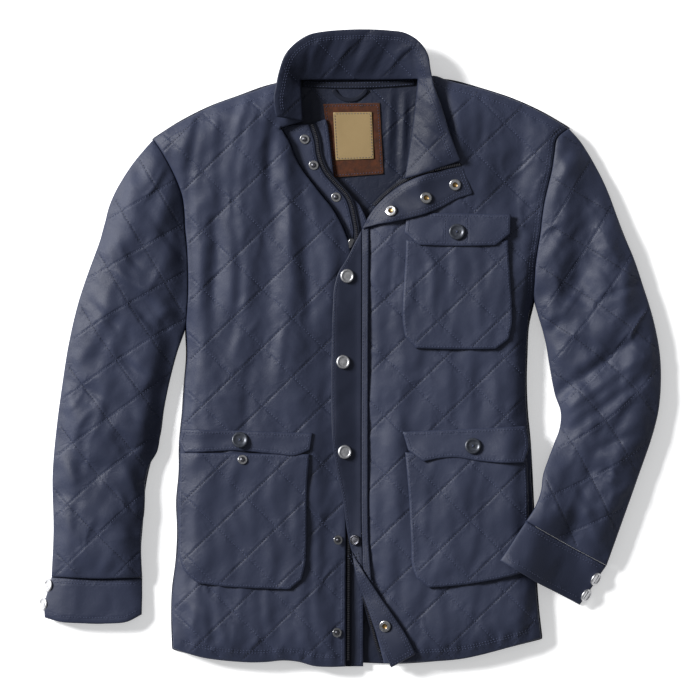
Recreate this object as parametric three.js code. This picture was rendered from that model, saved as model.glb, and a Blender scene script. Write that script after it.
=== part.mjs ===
// Quilted field jacket, laid out flat on its back with the collar and the front edge turned open.
// Millimetres, +Z up, the collar towards +Y. Each piece of cloth is cut to an outline seen from
// above and given depth by height functions, so that it lies just clear of what is under it.
import * as THREE from 'three';

// Driving sizes
const bodyLength = 742; // back neck seam to hem
const bodyLengthInPicture = 550; // the same stretch in picture units, which the outlines use
const scale = bodyLength / bodyLengthInPicture;
const pictureCentre = { x: 350, y: 347.5 };
const quiltWall = 4.5; // shell, filling and lining sewn together
const backWall = 5;
const plainWall = 2.6; // two layers of plain shell cloth
const thinWall = 1.6; // tape and leather
const seamGap = 0.4;
const layerGap = 0.3;
const bodyLoft = 22; // how far the fronts stand over the back in the middle
const sleeveLoft = 24;
const cuffLoft = 16;
const cuffWall = 4;
const puffHeight = 2.4;
const diamond = { width: 81, height: 79 };
const runSpacing = 22; // distance between the points of an outline
const coarseSpacing = 40;
const ringInset = 5; // the first row of points inside an outline
const rimLift = 1.2; // an edge that rests on the floor curls up this far
const standHeight = 13; // the turned-back stand rests this high, on the zip tape
const lowerZipHeight = 9;
// Sides of each strip, measured to the left of the line that it follows
const strips = {
  neckTape: [-5, 4],
  hangerLoop: [-3, 3],
  zipGuard: [-2, 24],
  rightTeeth: [seamGap, 8],
  leftTeeth: [1, 6],
};
const terrain = { step: 2, minX: -440, minY: -460, columns: 440, rows: 470 };

const finishes = {
  shell: { color: 0x2e3450, roughness: 0.62, metalness: 0 },
  lining: { color: 0x191d2e, roughness: 0.55, metalness: 0 },
  leather: { color: 0x553019, roughness: 0.8, metalness: 0 },
  label: { color: 0x8f7d52, roughness: 0.7, metalness: 0 },
  metal: { color: 0xb9bcc2, roughness: 0.3, metalness: 1 },
  button: { color: 0x20242f, roughness: 0.35, metalness: 0.2 },
};

const jacket = new THREE.Group();

// Outlines

const toModel = ([x, y]) => new THREE.Vector2(
  (x - pictureCentre.x) * scale, (pictureCentre.y - y) * scale);

// A run is a smooth stretch of an outline between two corners. Its points are x, y in picture
// units, and z in millimetres where the piece's height follows the run.
function run(rows, { roll = null, spacing = runSpacing } = {}) {
  const knots = rows.map((row) => new THREE.Vector3(...toModel(row), row[2] ?? 0));
  const curve = new THREE.CatmullRomCurve3(knots, false, 'centripetal');
  const steps = Math.max(1, Math.round(curve.getLength() / spacing));
  const spaced = curve.getSpacedPoints(steps);
  return { points: spaced.map(({ x, y }) => new THREE.Vector2(x, y)),
    heights: spaced.map(({ z }) => z), roll };
}

const reversed = ({ points, heights, roll }) => (
  { points: [...points].reverse(), heights: [...heights].reverse(), roll });

const rolled = (piece, roll) => ({ ...piece, roll });

const coarse = (rows) => run(rows, { spacing: coarseSpacing });

function joined(...runs) {
  const points = runs.flatMap((piece, i) => piece.points.slice(i === 0 ? 0 : 1));
  const heights = runs.flatMap((piece, i) => piece.heights.slice(i === 0 ? 0 : 1));
  return { points, heights, roll: null };
}

// The same run moved sideways, to its left where the distance is positive.
function beside({ points, heights }, distance) {
  const moved = points.map((point, i) => {
    const along = points[Math.min(i + 1, points.length - 1)].clone()
      .sub(points[Math.max(i - 1, 0)]).normalize();
    return new THREE.Vector2(point.x - along.y * distance, point.y + along.x * distance);
  });
  return { points: moved, heights: [...heights], roll: null };
}

const straight = (from, to) => ({ points: [from, to], heights: [0, 0], roll: null });

// A strip between two parallels of a run.
function band(path, near, far) {
  const first = beside(path, near);
  const second = reversed(beside(path, far));
  return [first, straight(first.points.at(-1), second.points[0]), second,
    straight(second.points.at(-1), first.points[0])];
}

function nearest(points, p) {
  let best = { distance: Infinity };
  for (let i = 0; i + 1 < points.length; i += 1) {
    const a = points[i];
    const dx = points[i + 1].x - a.x;
    const dy = points[i + 1].y - a.y;
    const share = THREE.MathUtils.clamp(
      ((p.x - a.x) * dx + (p.y - a.y) * dy) / (dx * dx + dy * dy), 0, 1);
    const distance = Math.hypot(a.x + dx * share - p.x, a.y + dy * share - p.y);
    if (distance < best.distance) best = { distance, index: i, share };
  }
  return best;
}

const distanceTo = (points, p) => nearest(points, p).distance;

function heightAlong({ points, heights }, p) {
  const { index, share } = nearest(points, p);
  return THREE.MathUtils.lerp(heights[index], heights[index + 1], share);
}

function inset(loop, distance) {
  const leastCosine = 0.4;
  return loop.map((point, i) => {
    const before = loop[(i + loop.length - 1) % loop.length];
    const after = loop[(i + 1) % loop.length];
    const first = point.clone().sub(before).normalize();
    const second = after.clone().sub(point).normalize();
    const inward = new THREE.Vector2(-first.y - second.y, first.x + second.x).normalize();
    const cosine = Math.max(inward.x * -first.y + inward.y * first.x, leastCosine);
    return point.clone().addScaledVector(inward, distance / cosine);
  });
}

function contains(loop, p) {
  let inside = false;
  loop.forEach((a, i) => {
    const b = loop[(i + 1) % loop.length];
    if ((a.y > p.y) !== (b.y > p.y) && p.x < a.x + (b.x - a.x) * (p.y - a.y) / (b.y - a.y)) {
      inside = !inside;
    }
  });
  return inside;
}

// Quilting: sewn lines run along whole values of a and of b

function flatQuilt(origin, cells = 3) {
  const centre = toModel(origin);
  const { width, height } = diamond;
  return {
    cells,
    toPlan: (a, b) => new THREE.Vector2(
      centre.x + width * (a + b) / 2, centre.y + height * (a - b) / 2),
    fromPlan: ({ x, y }) => ({
      a: (x - centre.x) / width + (y - centre.y) / height,
      b: (x - centre.x) / width - (y - centre.y) / height }),
    reach: 16,
  };
}

// Quilting that follows the middle line of a sleeve from the shoulder to the cuff.
function sleeveQuilt(rows, cells = 3) {
  const fineSpacing = 12;
  const { points } = run(rows, { spacing: fineSpacing });
  const lengths = [0];
  points.slice(1).forEach((p, i) => lengths.push(lengths[i] + p.distanceTo(points[i])));
  const { width, height } = diamond;
  const frameAt = (along) => {
    let i = lengths.findIndex((length) => length > along) - 1;
    if (along >= lengths.at(-1)) i = points.length - 2;
    i = Math.max(i, 0);
    const direction = points[i + 1].clone().sub(points[i]).normalize();
    return { start: points[i], direction, rest: along - lengths[i] };
  };
  return {
    cells,
    toPlan: (a, b) => {
      const across = width * (a + b) / 2;
      const { start, direction, rest } = frameAt(height * (a - b) / 2);
      return new THREE.Vector2(start.x + direction.x * rest - direction.y * across,
        start.y + direction.y * rest + direction.x * across);
    },
    fromPlan: (p) => {
      const { index } = nearest(points, p);
      const direction = points[index + 1].clone().sub(points[index]).normalize();
      const dx = p.x - points[index].x;
      const dy = p.y - points[index].y;
      const along = lengths[index] + dx * direction.x + dy * direction.y;
      const across = dy * direction.x - dx * direction.y;
      return { a: across / width + along / height, b: across / width - along / height };
    },
    reach: 12,
  };
}

const squareGrid = (spacing) => ({
  cells: 1,
  toPlan: (a, b) => new THREE.Vector2(a * spacing, b * spacing),
  fromPlan: ({ x, y }) => ({ a: x / spacing, b: y / spacing }),
  reach: Math.ceil(460 / spacing),
});

function puffAt(quilt, p) {
  const { a, b } = quilt.fromPlan(p);
  return Math.abs(Math.sin(Math.PI * a) * Math.sin(Math.PI * b)) ** 0.6;
}

// Meshing of an outline seen from above

const edgeKey = (i, j) => `${i}_${j}`;

// Swaps the shared edge of two triangles wherever that makes them less thin.
function flipThinPairs(points, faces) {
  const angleAt = (p, q, r) => {
    const u = points[q].clone().sub(points[p]);
    const v = points[r].clone().sub(points[p]);
    return Math.atan2(Math.abs(u.cross(v)), u.dot(v));
  };
  const turn = (p, q, r) => points[q].clone().sub(points[p]).cross(points[r].clone().sub(points[p]));
  for (let round = 0; round < 30; round += 1) {
    const owners = new Map();
    faces.forEach((face, f) => face.forEach((i, k) => {
      owners.set(edgeKey(i, face[(k + 1) % 3]), { f, apex: face[(k + 2) % 3] });
    }));
    const touched = new Set();
    let swapped = false;
    for (const [key, { f, apex }] of owners) {
      const [i, j] = key.split('_').map(Number);
      const other = owners.get(edgeKey(j, i));
      if (!other || touched.has(f) || touched.has(other.f)) continue;
      const opposite = other.apex;
      if (angleAt(apex, i, j) + angleAt(opposite, i, j) <= Math.PI + 1e-6) continue;
      if (turn(apex, i, opposite) < 1e-3 || turn(apex, opposite, j) < 1e-3) continue;
      faces[f] = [apex, i, opposite];
      faces[other.f] = [apex, opposite, j];
      touched.add(f).add(other.f);
      swapped = true;
    }
    if (!swapped) break;
  }
  return faces;
}

// Cells of a grid that lie well inside the outline, as one patch without pinched corners.
function gridCells(grid, outline, margin) {
  const closed = [...outline, outline[0]];
  const nodes = new Map();
  const limit = grid.reach * grid.cells;
  for (let i = -limit; i <= limit; i += 1) {
    for (let j = -limit; j <= limit; j += 1) {
      const point = grid.toPlan(i / grid.cells, j / grid.cells);
      if (!contains(outline, point) || distanceTo(closed, point) < margin) continue;
      const back = grid.fromPlan(point);
      const astray = Math.hypot(back.a - i / grid.cells, back.b - j / grid.cells);
      if (astray < 0.03) nodes.set(edgeKey(i, j), point);
    }
  }
  const corners = (i, j) => [[i, j], [i + 1, j], [i + 1, j + 1], [i, j + 1]];
  let cells = new Map();
  for (const key of nodes.keys()) {
    const [i, j] = key.split('_').map(Number);
    if (corners(i, j).every(([u, v]) => nodes.has(edgeKey(u, v)))) cells.set(key, [i, j]);
  }
  for (let changed = true; changed;) {
    changed = false;
    for (const [key, [i, j]] of cells) {
      const has = (u, v) => cells.has(edgeKey(u, v));
      const sides = [has(i - 1, j), has(i + 1, j), has(i, j - 1), has(i, j + 1)];
      const pinched = [[-1, -1], [-1, 1], [1, -1], [1, 1]].some(([u, v]) => (
        has(i + u, j + v) && !has(i + u, j) && !has(i, j + v)));
      if (pinched || sides.filter(Boolean).length === 0) {
        cells.delete(key);
        changed = true;
      }
    }
  }
  const patches = [];
  const left = new Set(cells.keys());
  while (left.size) {
    const patch = [];
    const waiting = [left.values().next().value];
    left.delete(waiting[0]);
    while (waiting.length) {
      const key = waiting.pop();
      patch.push(key);
      const [i, j] = cells.get(key);
      for (const [u, v] of [[i - 1, j], [i + 1, j], [i, j - 1], [i, j + 1]]) {
        if (left.delete(edgeKey(u, v))) waiting.push(edgeKey(u, v));
      }
    }
    patches.push(patch);
  }
  const largest = new Set(patches.sort((p, q) => q.length - p.length)[0] ?? []);
  cells = new Map([...cells].filter(([key]) => largest.has(key)));
  const quads = [...cells.values()].map(([i, j]) => corners(i, j).map(([u, v]) => edgeKey(u, v)));
  return { nodes, quads };
}

function borderOf(quads) {
  const next = new Map();
  const directed = new Set(quads.flatMap((quad) => quad.map((key, k) => `${key}|${quad[(k + 1) % 4]}`)));
  for (const pair of directed) {
    const [from, to] = pair.split('|');
    if (!directed.has(`${to}|${from}`)) next.set(from, to);
  }
  const start = next.keys().next().value;
  const loop = [start];
  for (let key = next.get(start); key !== start; key = next.get(key)) loop.push(key);
  if (loop.length !== next.size) throw new Error('the grid has a hole in it');
  return loop;
}

// Points in an exact line would be left out of the triangles, so each is moved by a hair.
const unaligned = (loop) => loop.map(({ x, y }, i) => (
  new THREE.Vector2(x + Math.sin(7 * i) / 1000, y + Math.cos(5 * i) / 1000)));

function planMesh(runs, grid, ringWidth) {
  runs.forEach(({ points }, i) => {
    const next = runs[(i + 1) % runs.length].points[0];
    if (points.at(-1).distanceTo(next) > 0.1) throw new Error(`run ${i} does not meet the next`);
  });
  let outline = runs.flatMap(({ points }) => points.slice(0, -1));
  if (THREE.ShapeUtils.isClockWise(outline)) outline.reverse();
  outline = inset(outline, seamGap / 2);
  const ring = ringWidth ? inset(outline, ringWidth) : outline;
  const count = outline.length;
  const points = ringWidth ? [...outline, ...ring] : [...outline];
  const faces = [];
  for (let i = 0; ringWidth && i < count; i += 1) {
    const j = (i + 1) % count;
    faces.push([i, j, count + j], [i, count + j, count + i]);
  }
  const margin = ringWidth + 8;
  const { nodes, quads } = grid ? gridCells(grid, outline, margin) : { quads: [] };
  const holes = [];
  const numbers = new Map();
  if (quads.length) {
    if (THREE.ShapeUtils.isClockWise(quads[0].map((key) => nodes.get(key)))) {
      quads.forEach((quad) => quad.reverse());
    }
    quads.flat().forEach((key) => {
      if (numbers.has(key)) return;
      numbers.set(key, points.length);
      points.push(nodes.get(key));
    });
    holes.push(borderOf(quads).reverse());
  }
  const contour = ring.map((_, i) => (ringWidth ? count + i : i));
  const order = [...contour, ...holes.flat().map((key) => numbers.get(key))];
  const loops = [ring, ...holes.map((hole) => hole.map((key) => nodes.get(key)))].map(unaligned);
  const filled = THREE.ShapeUtils.triangulateShape(loops[0], loops.slice(1));
  for (const face of filled) {
    if (THREE.ShapeUtils.isClockWise(face.map((i) => loops.flat()[i]))) face.reverse();
  }
  const between = filled.map((face) => face.map((i) => order[i]));
  faces.push(...flipThinPairs(points, between));
  for (const quad of quads) {
    const [a, b, c, d] = quad.map((key) => numbers.get(key));
    faces.push([a, b, c], [a, c, d]);
  }
  const closed = [...outline, outline[0]];
  return { points, faces, count, depth: points.map((p) => distanceTo(closed, p)) };
}

// The ground under a new piece: the top faces of named pieces on a fine square raster

const tops = new Map();

function eachCell([a, b, c], visit) {
  const { step, minX, minY, columns, rows } = terrain;
  const area = (b.x - a.x) * (c.y - a.y) - (c.x - a.x) * (b.y - a.y);
  if (Math.abs(area) < 1e-9) return;
  const first = (values, least) => Math.max(0, Math.ceil((Math.min(...values) - least) / step));
  const last = (values, least, size) => Math.min(size - 1, Math.floor((Math.max(...values) - least) / step));
  const [xs, ys] = [[a.x, b.x, c.x], [a.y, b.y, c.y]];
  for (let row = first(ys, minY); row <= last(ys, minY, rows); row += 1) {
    for (let column = first(xs, minX); column <= last(xs, minX, columns); column += 1) {
      const x = minX + column * step;
      const y = minY + row * step;
      const u = ((b.x - x) * (c.y - y) - (c.x - x) * (b.y - y)) / area;
      const v = ((c.x - x) * (a.y - y) - (a.x - x) * (c.y - y)) / area;
      if (u >= -1e-6 && v >= -1e-6 && u + v <= 1 + 1e-6) visit(row * columns + column, u, v, 1 - u - v);
    }
  }
}

function rasterOf(points, faces, heights) {
  const raster = new Float32Array(terrain.columns * terrain.rows).fill(-Infinity);
  for (const [i, j, k] of faces) {
    eachCell([points[i], points[j], points[k]], (cell, u, v, w) => {
      raster[cell] = Math.max(raster[cell], heights[i] * u + heights[j] * v + heights[k] * w);
    });
  }
  return raster;
}

// The highest of the named pieces at each point, or else the floor.
function surfaceOf(names) {
  const surface = new Float32Array(terrain.columns * terrain.rows);
  for (const name of names) {
    if (!tops.has(name)) throw new Error(`${name} is not laid yet`);
    tops.get(name).forEach((z, cell) => { if (z > surface[cell]) surface[cell] = z; });
  }
  return surface;
}

// The same surface, widened by one step all round, so that cloth clears every edge in it.
function groundUnder(names) {
  const { columns, rows } = terrain;
  const surface = surfaceOf(names);
  const widened = surface.slice();
  for (let row = 1; row < rows - 1; row += 1) {
    for (let column = 1; column < columns - 1; column += 1) {
      const cell = row * columns + column;
      for (const near of [-columns - 1, -columns, -columns + 1, -1, 1, columns - 1, columns, columns + 1]) {
        widened[cell] = Math.max(widened[cell], surface[cell + near]);
      }
    }
  }
  return widened;
}

// Cloth bridges hollows: away from what holds it up, it falls no steeper than the slope.
function draped(ground, slope) {
  const { step, columns, rows } = terrain;
  const cloth = ground.slice();
  const sweep = (rowOrder, columnOrder, neighbours) => {
    for (const row of rowOrder) {
      for (const column of columnOrder) {
        const cell = row * columns + column;
        for (const [r, c] of neighbours) {
          if (row + r < 0 || row + r >= rows || column + c < 0 || column + c >= columns) continue;
          const fall = slope * step * Math.hypot(r, c);
          cloth[cell] = Math.max(cloth[cell], cloth[cell + r * columns + c] - fall);
        }
      }
    }
  };
  const upward = [...Array(rows).keys()];
  const rightward = [...Array(columns).keys()];
  sweep(upward, rightward, [[-1, -1], [-1, 0], [-1, 1], [0, -1]]);
  sweep([...upward].reverse(), [...rightward].reverse(), [[1, 1], [1, 0], [1, -1], [0, 1]]);
  return cloth;
}

function sample(raster, { x, y }) {
  const { step, minX, minY, columns } = terrain;
  const u = (x - minX) / step;
  const v = (y - minY) / step;
  const cell = Math.floor(v) * columns + Math.floor(u);
  const { lerp } = THREE.MathUtils;
  const low = lerp(raster[cell], raster[cell + 1], u % 1);
  const high = lerp(raster[cell + columns], raster[cell + columns + 1], u % 1);
  return lerp(low, high, v % 1);
}

// Lifts the points of an underside until every facet of it clears the ground.
function liftClear({ points, faces }, heights, ground) {
  for (let round = 0; round < 6; round += 1) {
    let lifted = false;
    for (const [i, j, k] of faces) {
      let lack = 0;
      eachCell([points[i], points[j], points[k]], (cell, u, v, w) => {
        lack = Math.max(lack, ground[cell] + layerGap - heights[i] * u - heights[j] * v - heights[k] * w);
      });
      if (lack > 1e-3) {
        [i, j, k].forEach((n) => { heights[n] += lack; });
        lifted = true;
      }
    }
    if (!lifted) break;
  }
}

// Cloth pieces

function addMesh(name, geometry, finish) {
  const mesh = new THREE.Mesh(geometry, new THREE.MeshStandardMaterial(finishes[finish]));
  mesh.name = name;
  jacket.add(mesh);
  return mesh;
}

function shellGeometry({ points, faces, count }, low, high) {
  const total = points.length;
  const positions = [high, low].flatMap((heights) => points.flatMap(({ x, y }, i) => [x, y, heights[i]]));
  const index = faces.flatMap(([a, b, c]) => [a, b, c, total + c, total + b, total + a]);
  for (let i = 0; i < count; i += 1) {
    const j = (i + 1) % count;
    index.push(total + i, total + j, j, total + i, j, i);
  }
  const geometry = new THREE.BufferGeometry();
  geometry.setAttribute('position', new THREE.Float32BufferAttribute(positions, 3));
  geometry.setIndex(index);
  geometry.computeVertexNormals();
  return geometry;
}

const roundedRise = (share) => Math.sqrt(1 - (1 - Math.min(share, 1)) ** 2);

// One piece of cloth. rest is the height of its underside, over names the pieces it lies on,
// slope is how steeply it can fall, and quilt raises the outer side between the sewn lines.
function layCloth(name, runs, { rest = () => 0, over = [], wall = plainWall, slope = 0.7, quilt = null,
  grid = quilt, puff = puffHeight, plainHem = 0, finish = 'shell', flat = false, ring = ringInset }) {
  const plan = planMesh(runs, grid, ring);
  const ground = groundUnder(over);
  const cloth = draped(ground, slope);
  const low = plan.points.map((p) => Math.max(rest(p), sample(cloth, p) + (over.length ? layerGap : 0)));
  if (over.length) liftClear(plan, low, ground);
  const edgeWall = wall * (wall > thinWall ? 0.62 : 1);
  const high = plan.points.map((p, i) => {
    const thick = edgeWall + (wall - edgeWall) * roundedRise(ring ? plan.depth[i] / ring : 1);
    const fade = THREE.MathUtils.smoothstep(plan.depth[i], plainHem, plainHem + 14);
    return low[i] + thick + (quilt ? puff * fade * puffAt(quilt, p) : 0);
  });
  if (flat) low.forEach((_, i) => { low[i] = i < plan.count ? rimLift : 0; });
  tops.set(name, rasterOf(plan.points, plan.faces, high));
  return addMesh(name, shellGeometry(plan, low, high), finish);
}

// Soft folds, each a ridge or a trough along a line that dies out at its ends

function foldHeight(folds, p) {
  return folds.reduce((sum, { line, width, rise }) => {
    const { distance, index, share } = nearest(line.points, p);
    const along = (index + share) / (line.points.length - 1);
    return sum + rise * Math.exp(-((distance / width) ** 2)) * Math.sin(Math.PI * along) ** 0.5;
  }, 0);
}

// Rows of a fold table: x1, y1, x2, y2 in picture units, then half width and rise in millimetres.
const foldsFrom = (rows) => rows.map(([x1, y1, x2, y2, width, rise]) => (
  { line: run([[x1, y1], [x2, y2]]), width, rise }));

// How far a lofted piece stands over what it is sewn to, rolling down to its rolled runs.
function bulge(loft, runs, folds = []) {
  return (p) => {
    const drops = runs.filter(({ roll }) => roll).map(({ points, roll }) => (
      (loft - roll.height) * (1 - roundedRise(distanceTo(points, p) / roll.radius))));
    const drop = drops.reduce((sum, value) => sum + value ** 6, 0) ** (1 / 6);
    return Math.max(loft - drop + foldHeight(folds, p), 0);
  };
}

// Lines shared by pieces that meet

const rolls = {
  side: { radius: 30, height: 0.4 },
  shoulder: { radius: 26, height: 0.4 },
  armhole: { radius: 24, height: 10 },
  hem: { radius: 34, height: 8 },
  front: { radius: 26, height: 10 },
  neck: { radius: 30, height: 2.5 },
  sleeve: { radius: 36, height: 0.4 },
  cuff: { radius: 30, height: 12 },
};

const seams = {
  rightShoulder: [[300, 80], [277, 83], [251, 92], [216, 104], [191, 116], [169, 128], [153, 139]],
  rightArmhole: [[153, 139], [164, 156], [176, 179], [183, 200], [185, 228], [187, 250], [188, 290],
    [186, 325]],
  rightSide: [[186, 325], [187, 356], [185, 380], [183, 410], [180, 440], [180, 465], [177, 500], [178, 545],
    [175, 572], [172, 600], [173, 649]],
  leftShoulder: [[418, 79], [432, 75], [448, 80], [493, 92], [525, 104], [549, 116], [569, 128]],
  leftArmhole: [[569, 128], [558, 136], [553, 165], [544, 205], [540, 237], [536, 262], [534, 298]],
  leftSide: [[534, 298], [530, 310], [527, 345], [526, 390], [529, 435], [532, 455], [531, 476], [533, 500],
    [535, 545], [537, 596], [541.5, 638.5]],
  rightCuffSeam: [[142, 578], [96, 579], [51, 577]],
  leftCuffSeam: [[526, 521], [566, 544], [607, 566]],
  rightSleeveOuter: [[51, 577], [53, 530], [52, 476], [56, 428], [61, 390], [68, 345], [78, 302], [88, 272],
    [101, 236], [111, 200], [132, 164], [153, 139]],
  rightSleeveInner: [[186, 325], [176, 356], [168, 388], [162, 420], [157, 452], [146.5, 472], [144.5, 510],
    [141, 535], [142, 578]],
  leftSleeveOuter: [[569, 128], [580, 140], [595, 164], [607, 188], [616, 212], [625, 236], [635, 260],
    [643, 284], [654, 320], [661, 360], [660, 404], [654, 432], [639, 476], [622, 524], [607, 566]],
  leftSleeveInner: [[526, 521], [539, 498.6], [543.5, 473], [552, 450], [557, 436], [562, 418], [556, 398],
    [551.6, 377], [545, 338.5], [539, 318], [534, 298]],
};

const rightArmhole = run(seams.rightArmhole, { roll: rolls.armhole });
const leftArmhole = run(seams.leftArmhole, { roll: rolls.armhole });
const rightCuffSeam = run(seams.rightCuffSeam);
const leftCuffSeam = run(seams.leftCuffSeam);
const foldEnd = [351, 250]; // where the zip line meets the closed front edge
const rightFold = run([[281, 128], [290, 143], [297, 161], [305, 173], [321, 194], [335, 212], [345, 232],
  foldEnd], { roll: rolls.front });
const rightFrontEdge = run([foldEnd, [348, 268], [346.5, 290], [346, 400], [346, 552], [345.6, 667]],
  { roll: rolls.front, spacing: 30 });
const rightZipLine = run([[309, 124], [314, 138], [316, 153], [321, 168], [331, 182], [343, 194], [349, 206],
  [352, 221], [354, 236], foldEnd]);
const neckRight = run([[300, 80], [302, 100], [303, 121]], { roll: rolls.neck });
const neckLeft = run([[405, 181], [411, 140], [416, 100], [418, 79]], { roll: rolls.neck });

const bodyQuilt = { right: flatQuilt([202.5, 171.5]), left: flatQuilt([385, 357.5]) };
const sleeveQuilts = {
  right: sleeveQuilt([[158, 190], [140, 260], [122, 330], [110, 400], [99, 480], [97, 577]]),
  left: sleeveQuilt([[573, 190], [590, 260], [603, 330], [608, 390], [602, 440], [586, 492], [566, 544]]),
};

// Body: the back lies on the floor and carries everything else

layCloth('back', [
  coarse(seams.rightShoulder), coarse(seams.rightArmhole), coarse(seams.rightSide),
  coarse([[173, 649], [202, 656], [255, 661], [300, 659], [365, 662], [398, 663], [464, 657],
    [541.5, 638.5]]),
  coarse([...seams.leftSide].reverse()), coarse([...seams.leftArmhole].reverse()),
  coarse([...seams.leftShoulder].reverse()), coarse([[418, 79], [360, 80], [300, 80]]),
], { wall: backWall, grid: squareGrid(90), finish: 'lining', flat: true });

layCloth('neck_patch', [
  run([[323, 103.4], [380, 102.2]]), run([[380, 102.2], [384, 173.8]]), run([[384, 173.8], [333, 177.4]]),
  run([[333, 177.4], [323, 103.4]]),
], { over: ['back'], wall: thinWall, finish: 'leather' });

layCloth('neck_label', [
  run([[333, 111.8], [372, 111.4]]), run([[372, 111.4], [374, 158.5]]), run([[374, 158.5], [335.7, 160]]),
  run([[335.7, 160], [333, 111.8]]),
], { over: ['neck_patch'], wall: 1, finish: 'label', ring: 0 });

const neckSeam = run([[302, 82.5], [330, 84], [378, 83.5], [415, 81]]);
layCloth('neck_tape', band(neckSeam, ...strips.neckTape), {
  over: ['back'], wall: thinWall, finish: 'lining', ring: 0 });

const hangerPath = run([[333, 89], [339, 96], [348, 99.5], [359, 97], [367, 89]], { spacing: 9 });
layCloth('hanger_loop', band(hangerPath, ...strips.hangerLoop), {
  over: ['back', 'neck_tape'], wall: thinWall, ring: 0 });

// Zip side of the wearer's right front, under the storm flap

const zipPath = joined(rightZipLine, rightFrontEdge);
const guardHeights = run([[320, 127, 9], [325, 160, 9], [344, 192, 10], [355, 230, 12], [352, 300, 13],
  [352, 560, 13], [352, 668, 9]]);
layCloth('zip_guard', band(zipPath, ...strips.zipGuard), {
  rest: (p) => heightAlong(guardHeights, p), over: ['back', 'neck_patch', 'neck_label'] });
layCloth('zip_right', band(zipPath, ...strips.rightTeeth), { over: ['zip_guard'], ring: 0 });

layCloth('right_stand', [
  run([[281, 128], [284, 125.5], [309, 124]]), rightZipLine, reversed(rightFold),
], { ring: 3, rest: () => standHeight, over: ['back', 'zip_guard'], wall: 3 });

// Fronts

const hemRows = {
  right: [[345.6, 667], [317, 667], [291, 661], [255, 663], [202, 658], [173, 649]],
  left: [[384, 664], [430, 662], [464, 659], [516, 646], [541.5, 638.5]],
};

// x1, y1, x2, y2, half width, rise
const rightFrontFolds = foldsFrom([
  [255, 110, 236, 330, 17, 5],
  [276, 130, 262, 400, 13, -4],
  [292, 190, 285, 420, 15, 5],
  [222, 190, 208, 360, 14, -4],
  [318, 215, 322, 420, 14, -4],
  [196, 230, 205, 420, 13, 4],
  [225, 600, 240, 650, 18, 3],
]);
const leftFrontFolds = foldsFrom([
  [446, 105, 454, 200, 10, 2],
  [500, 105, 510, 215, 16, -5],
  [540, 130, 531, 240, 13, 4],
  [388, 250, 382, 400, 11, -3],
  [396, 360, 392, 560, 12, 3],
  [470, 590, 475, 650, 16, 3],
  [521, 250, 517, 420, 12, 3],
]);

const rightFrontRuns = [
  run(seams.rightShoulder, { roll: rolls.shoulder }), rightArmhole,
  run(seams.rightSide, { roll: rolls.side }),
  rolled(reversed(run(hemRows.right)), rolls.hem), reversed(rightFrontEdge), reversed(rightFold),
  run([[281, 128], [303, 121]]), reversed(neckRight),
];
const rightBulge = bulge(bodyLoft, rightFrontRuns, rightFrontFolds);
layCloth('right_front', rightFrontRuns, {
  rest: (p) => backWall + rightBulge(p), over: ['back', 'zip_guard'], wall: quiltWall,
  quilt: bodyQuilt.right, plainHem: 6 });

const leftCentre = run([[384, 664], [379, 645], [371, 615], [364.5, 585], [362.5, 540], [362, 300],
  [363, 250], [368, 222]], { roll: rolls.front, spacing: 30 });
const leftLapelFold = run([[368, 222], [374, 208], [382, 198], [393, 190], [405, 181]], { roll: rolls.neck });
const leftFrontRuns = [
  neckLeft, run(seams.leftShoulder, { roll: rolls.shoulder }), leftArmhole,
  run(seams.leftSide, { roll: rolls.side }), rolled(reversed(run(hemRows.left)), rolls.hem),
  leftCentre, leftLapelFold,
];
const leftBulge = bulge(bodyLoft, leftFrontRuns, leftFrontFolds);
layCloth('left_front', leftFrontRuns, {
  rest: (p) => backWall + leftBulge(p), over: ['back', 'zip_guard'], wall: quiltWall,
  quilt: bodyQuilt.left, plainHem: 6 });

// Wearer's right sleeve, lying beside the body

layCloth('right_sleeve_under', [
  coarse(seams.rightArmhole), coarse(seams.rightSleeveInner), coarse(seams.rightCuffSeam),
  coarse(seams.rightSleeveOuter),
], { wall: quiltWall, grid: squareGrid(60), flat: true });

const rightSleeveFolds = foldsFrom([
  [121, 246, 146, 272, 9, -4],
  [144, 298, 175, 337, 9, -5],
  [95, 300, 150, 330, 12, 4],
  [80, 360, 140, 372, 12, -4],
  [75, 420, 150, 428, 12, 4],
  [70, 470, 135, 462, 11, -4],
  [66, 520, 128, 512, 12, 4],
  [84, 545, 92, 572, 9, -3],
]);
const rightSleeveRuns = [
  rightArmhole, run(seams.rightSleeveInner, { roll: rolls.sleeve }), rolled(rightCuffSeam, rolls.cuff),
  run(seams.rightSleeveOuter, { roll: rolls.sleeve }),
];
const rightSleeveBulge = bulge(sleeveLoft, rightSleeveRuns, rightSleeveFolds);
layCloth('right_sleeve_top', rightSleeveRuns, {
  rest: (p) => quiltWall + rightSleeveBulge(p), over: ['right_sleeve_under'], wall: quiltWall,
  quilt: sleeveQuilts.right });

const rightCuffRows = {
  outer: [[44, 618], [43.5, 606], [47, 592], [51, 577]],
  end: [[141.5, 615], [128, 622], [93, 624], [54, 621.5], [44, 618]],
  inner: [[142, 578], [142, 600], [141.5, 615]],
};
layCloth('right_cuff_under', [
  coarse(seams.rightCuffSeam), ...Object.values(rightCuffRows).map((points) => coarse([...points].reverse())),
], { wall: cuffWall, flat: true });
const rightCuffRuns = [
  run(rightCuffRows.inner, { roll: rolls.sleeve }), run(rightCuffRows.end, { roll: rolls.cuff }),
  run(rightCuffRows.outer, { roll: rolls.sleeve }), rolled(reversed(rightCuffSeam), rolls.cuff),
];
const rightCuffBulge = bulge(cuffLoft, rightCuffRuns);
layCloth('right_cuff_top', rightCuffRuns, {
  rest: (p) => cuffWall + rightCuffBulge(p), over: ['right_cuff_under'], wall: cuffWall });

// Patch pockets: a quilted bag and a plain flap over its mouth

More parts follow.
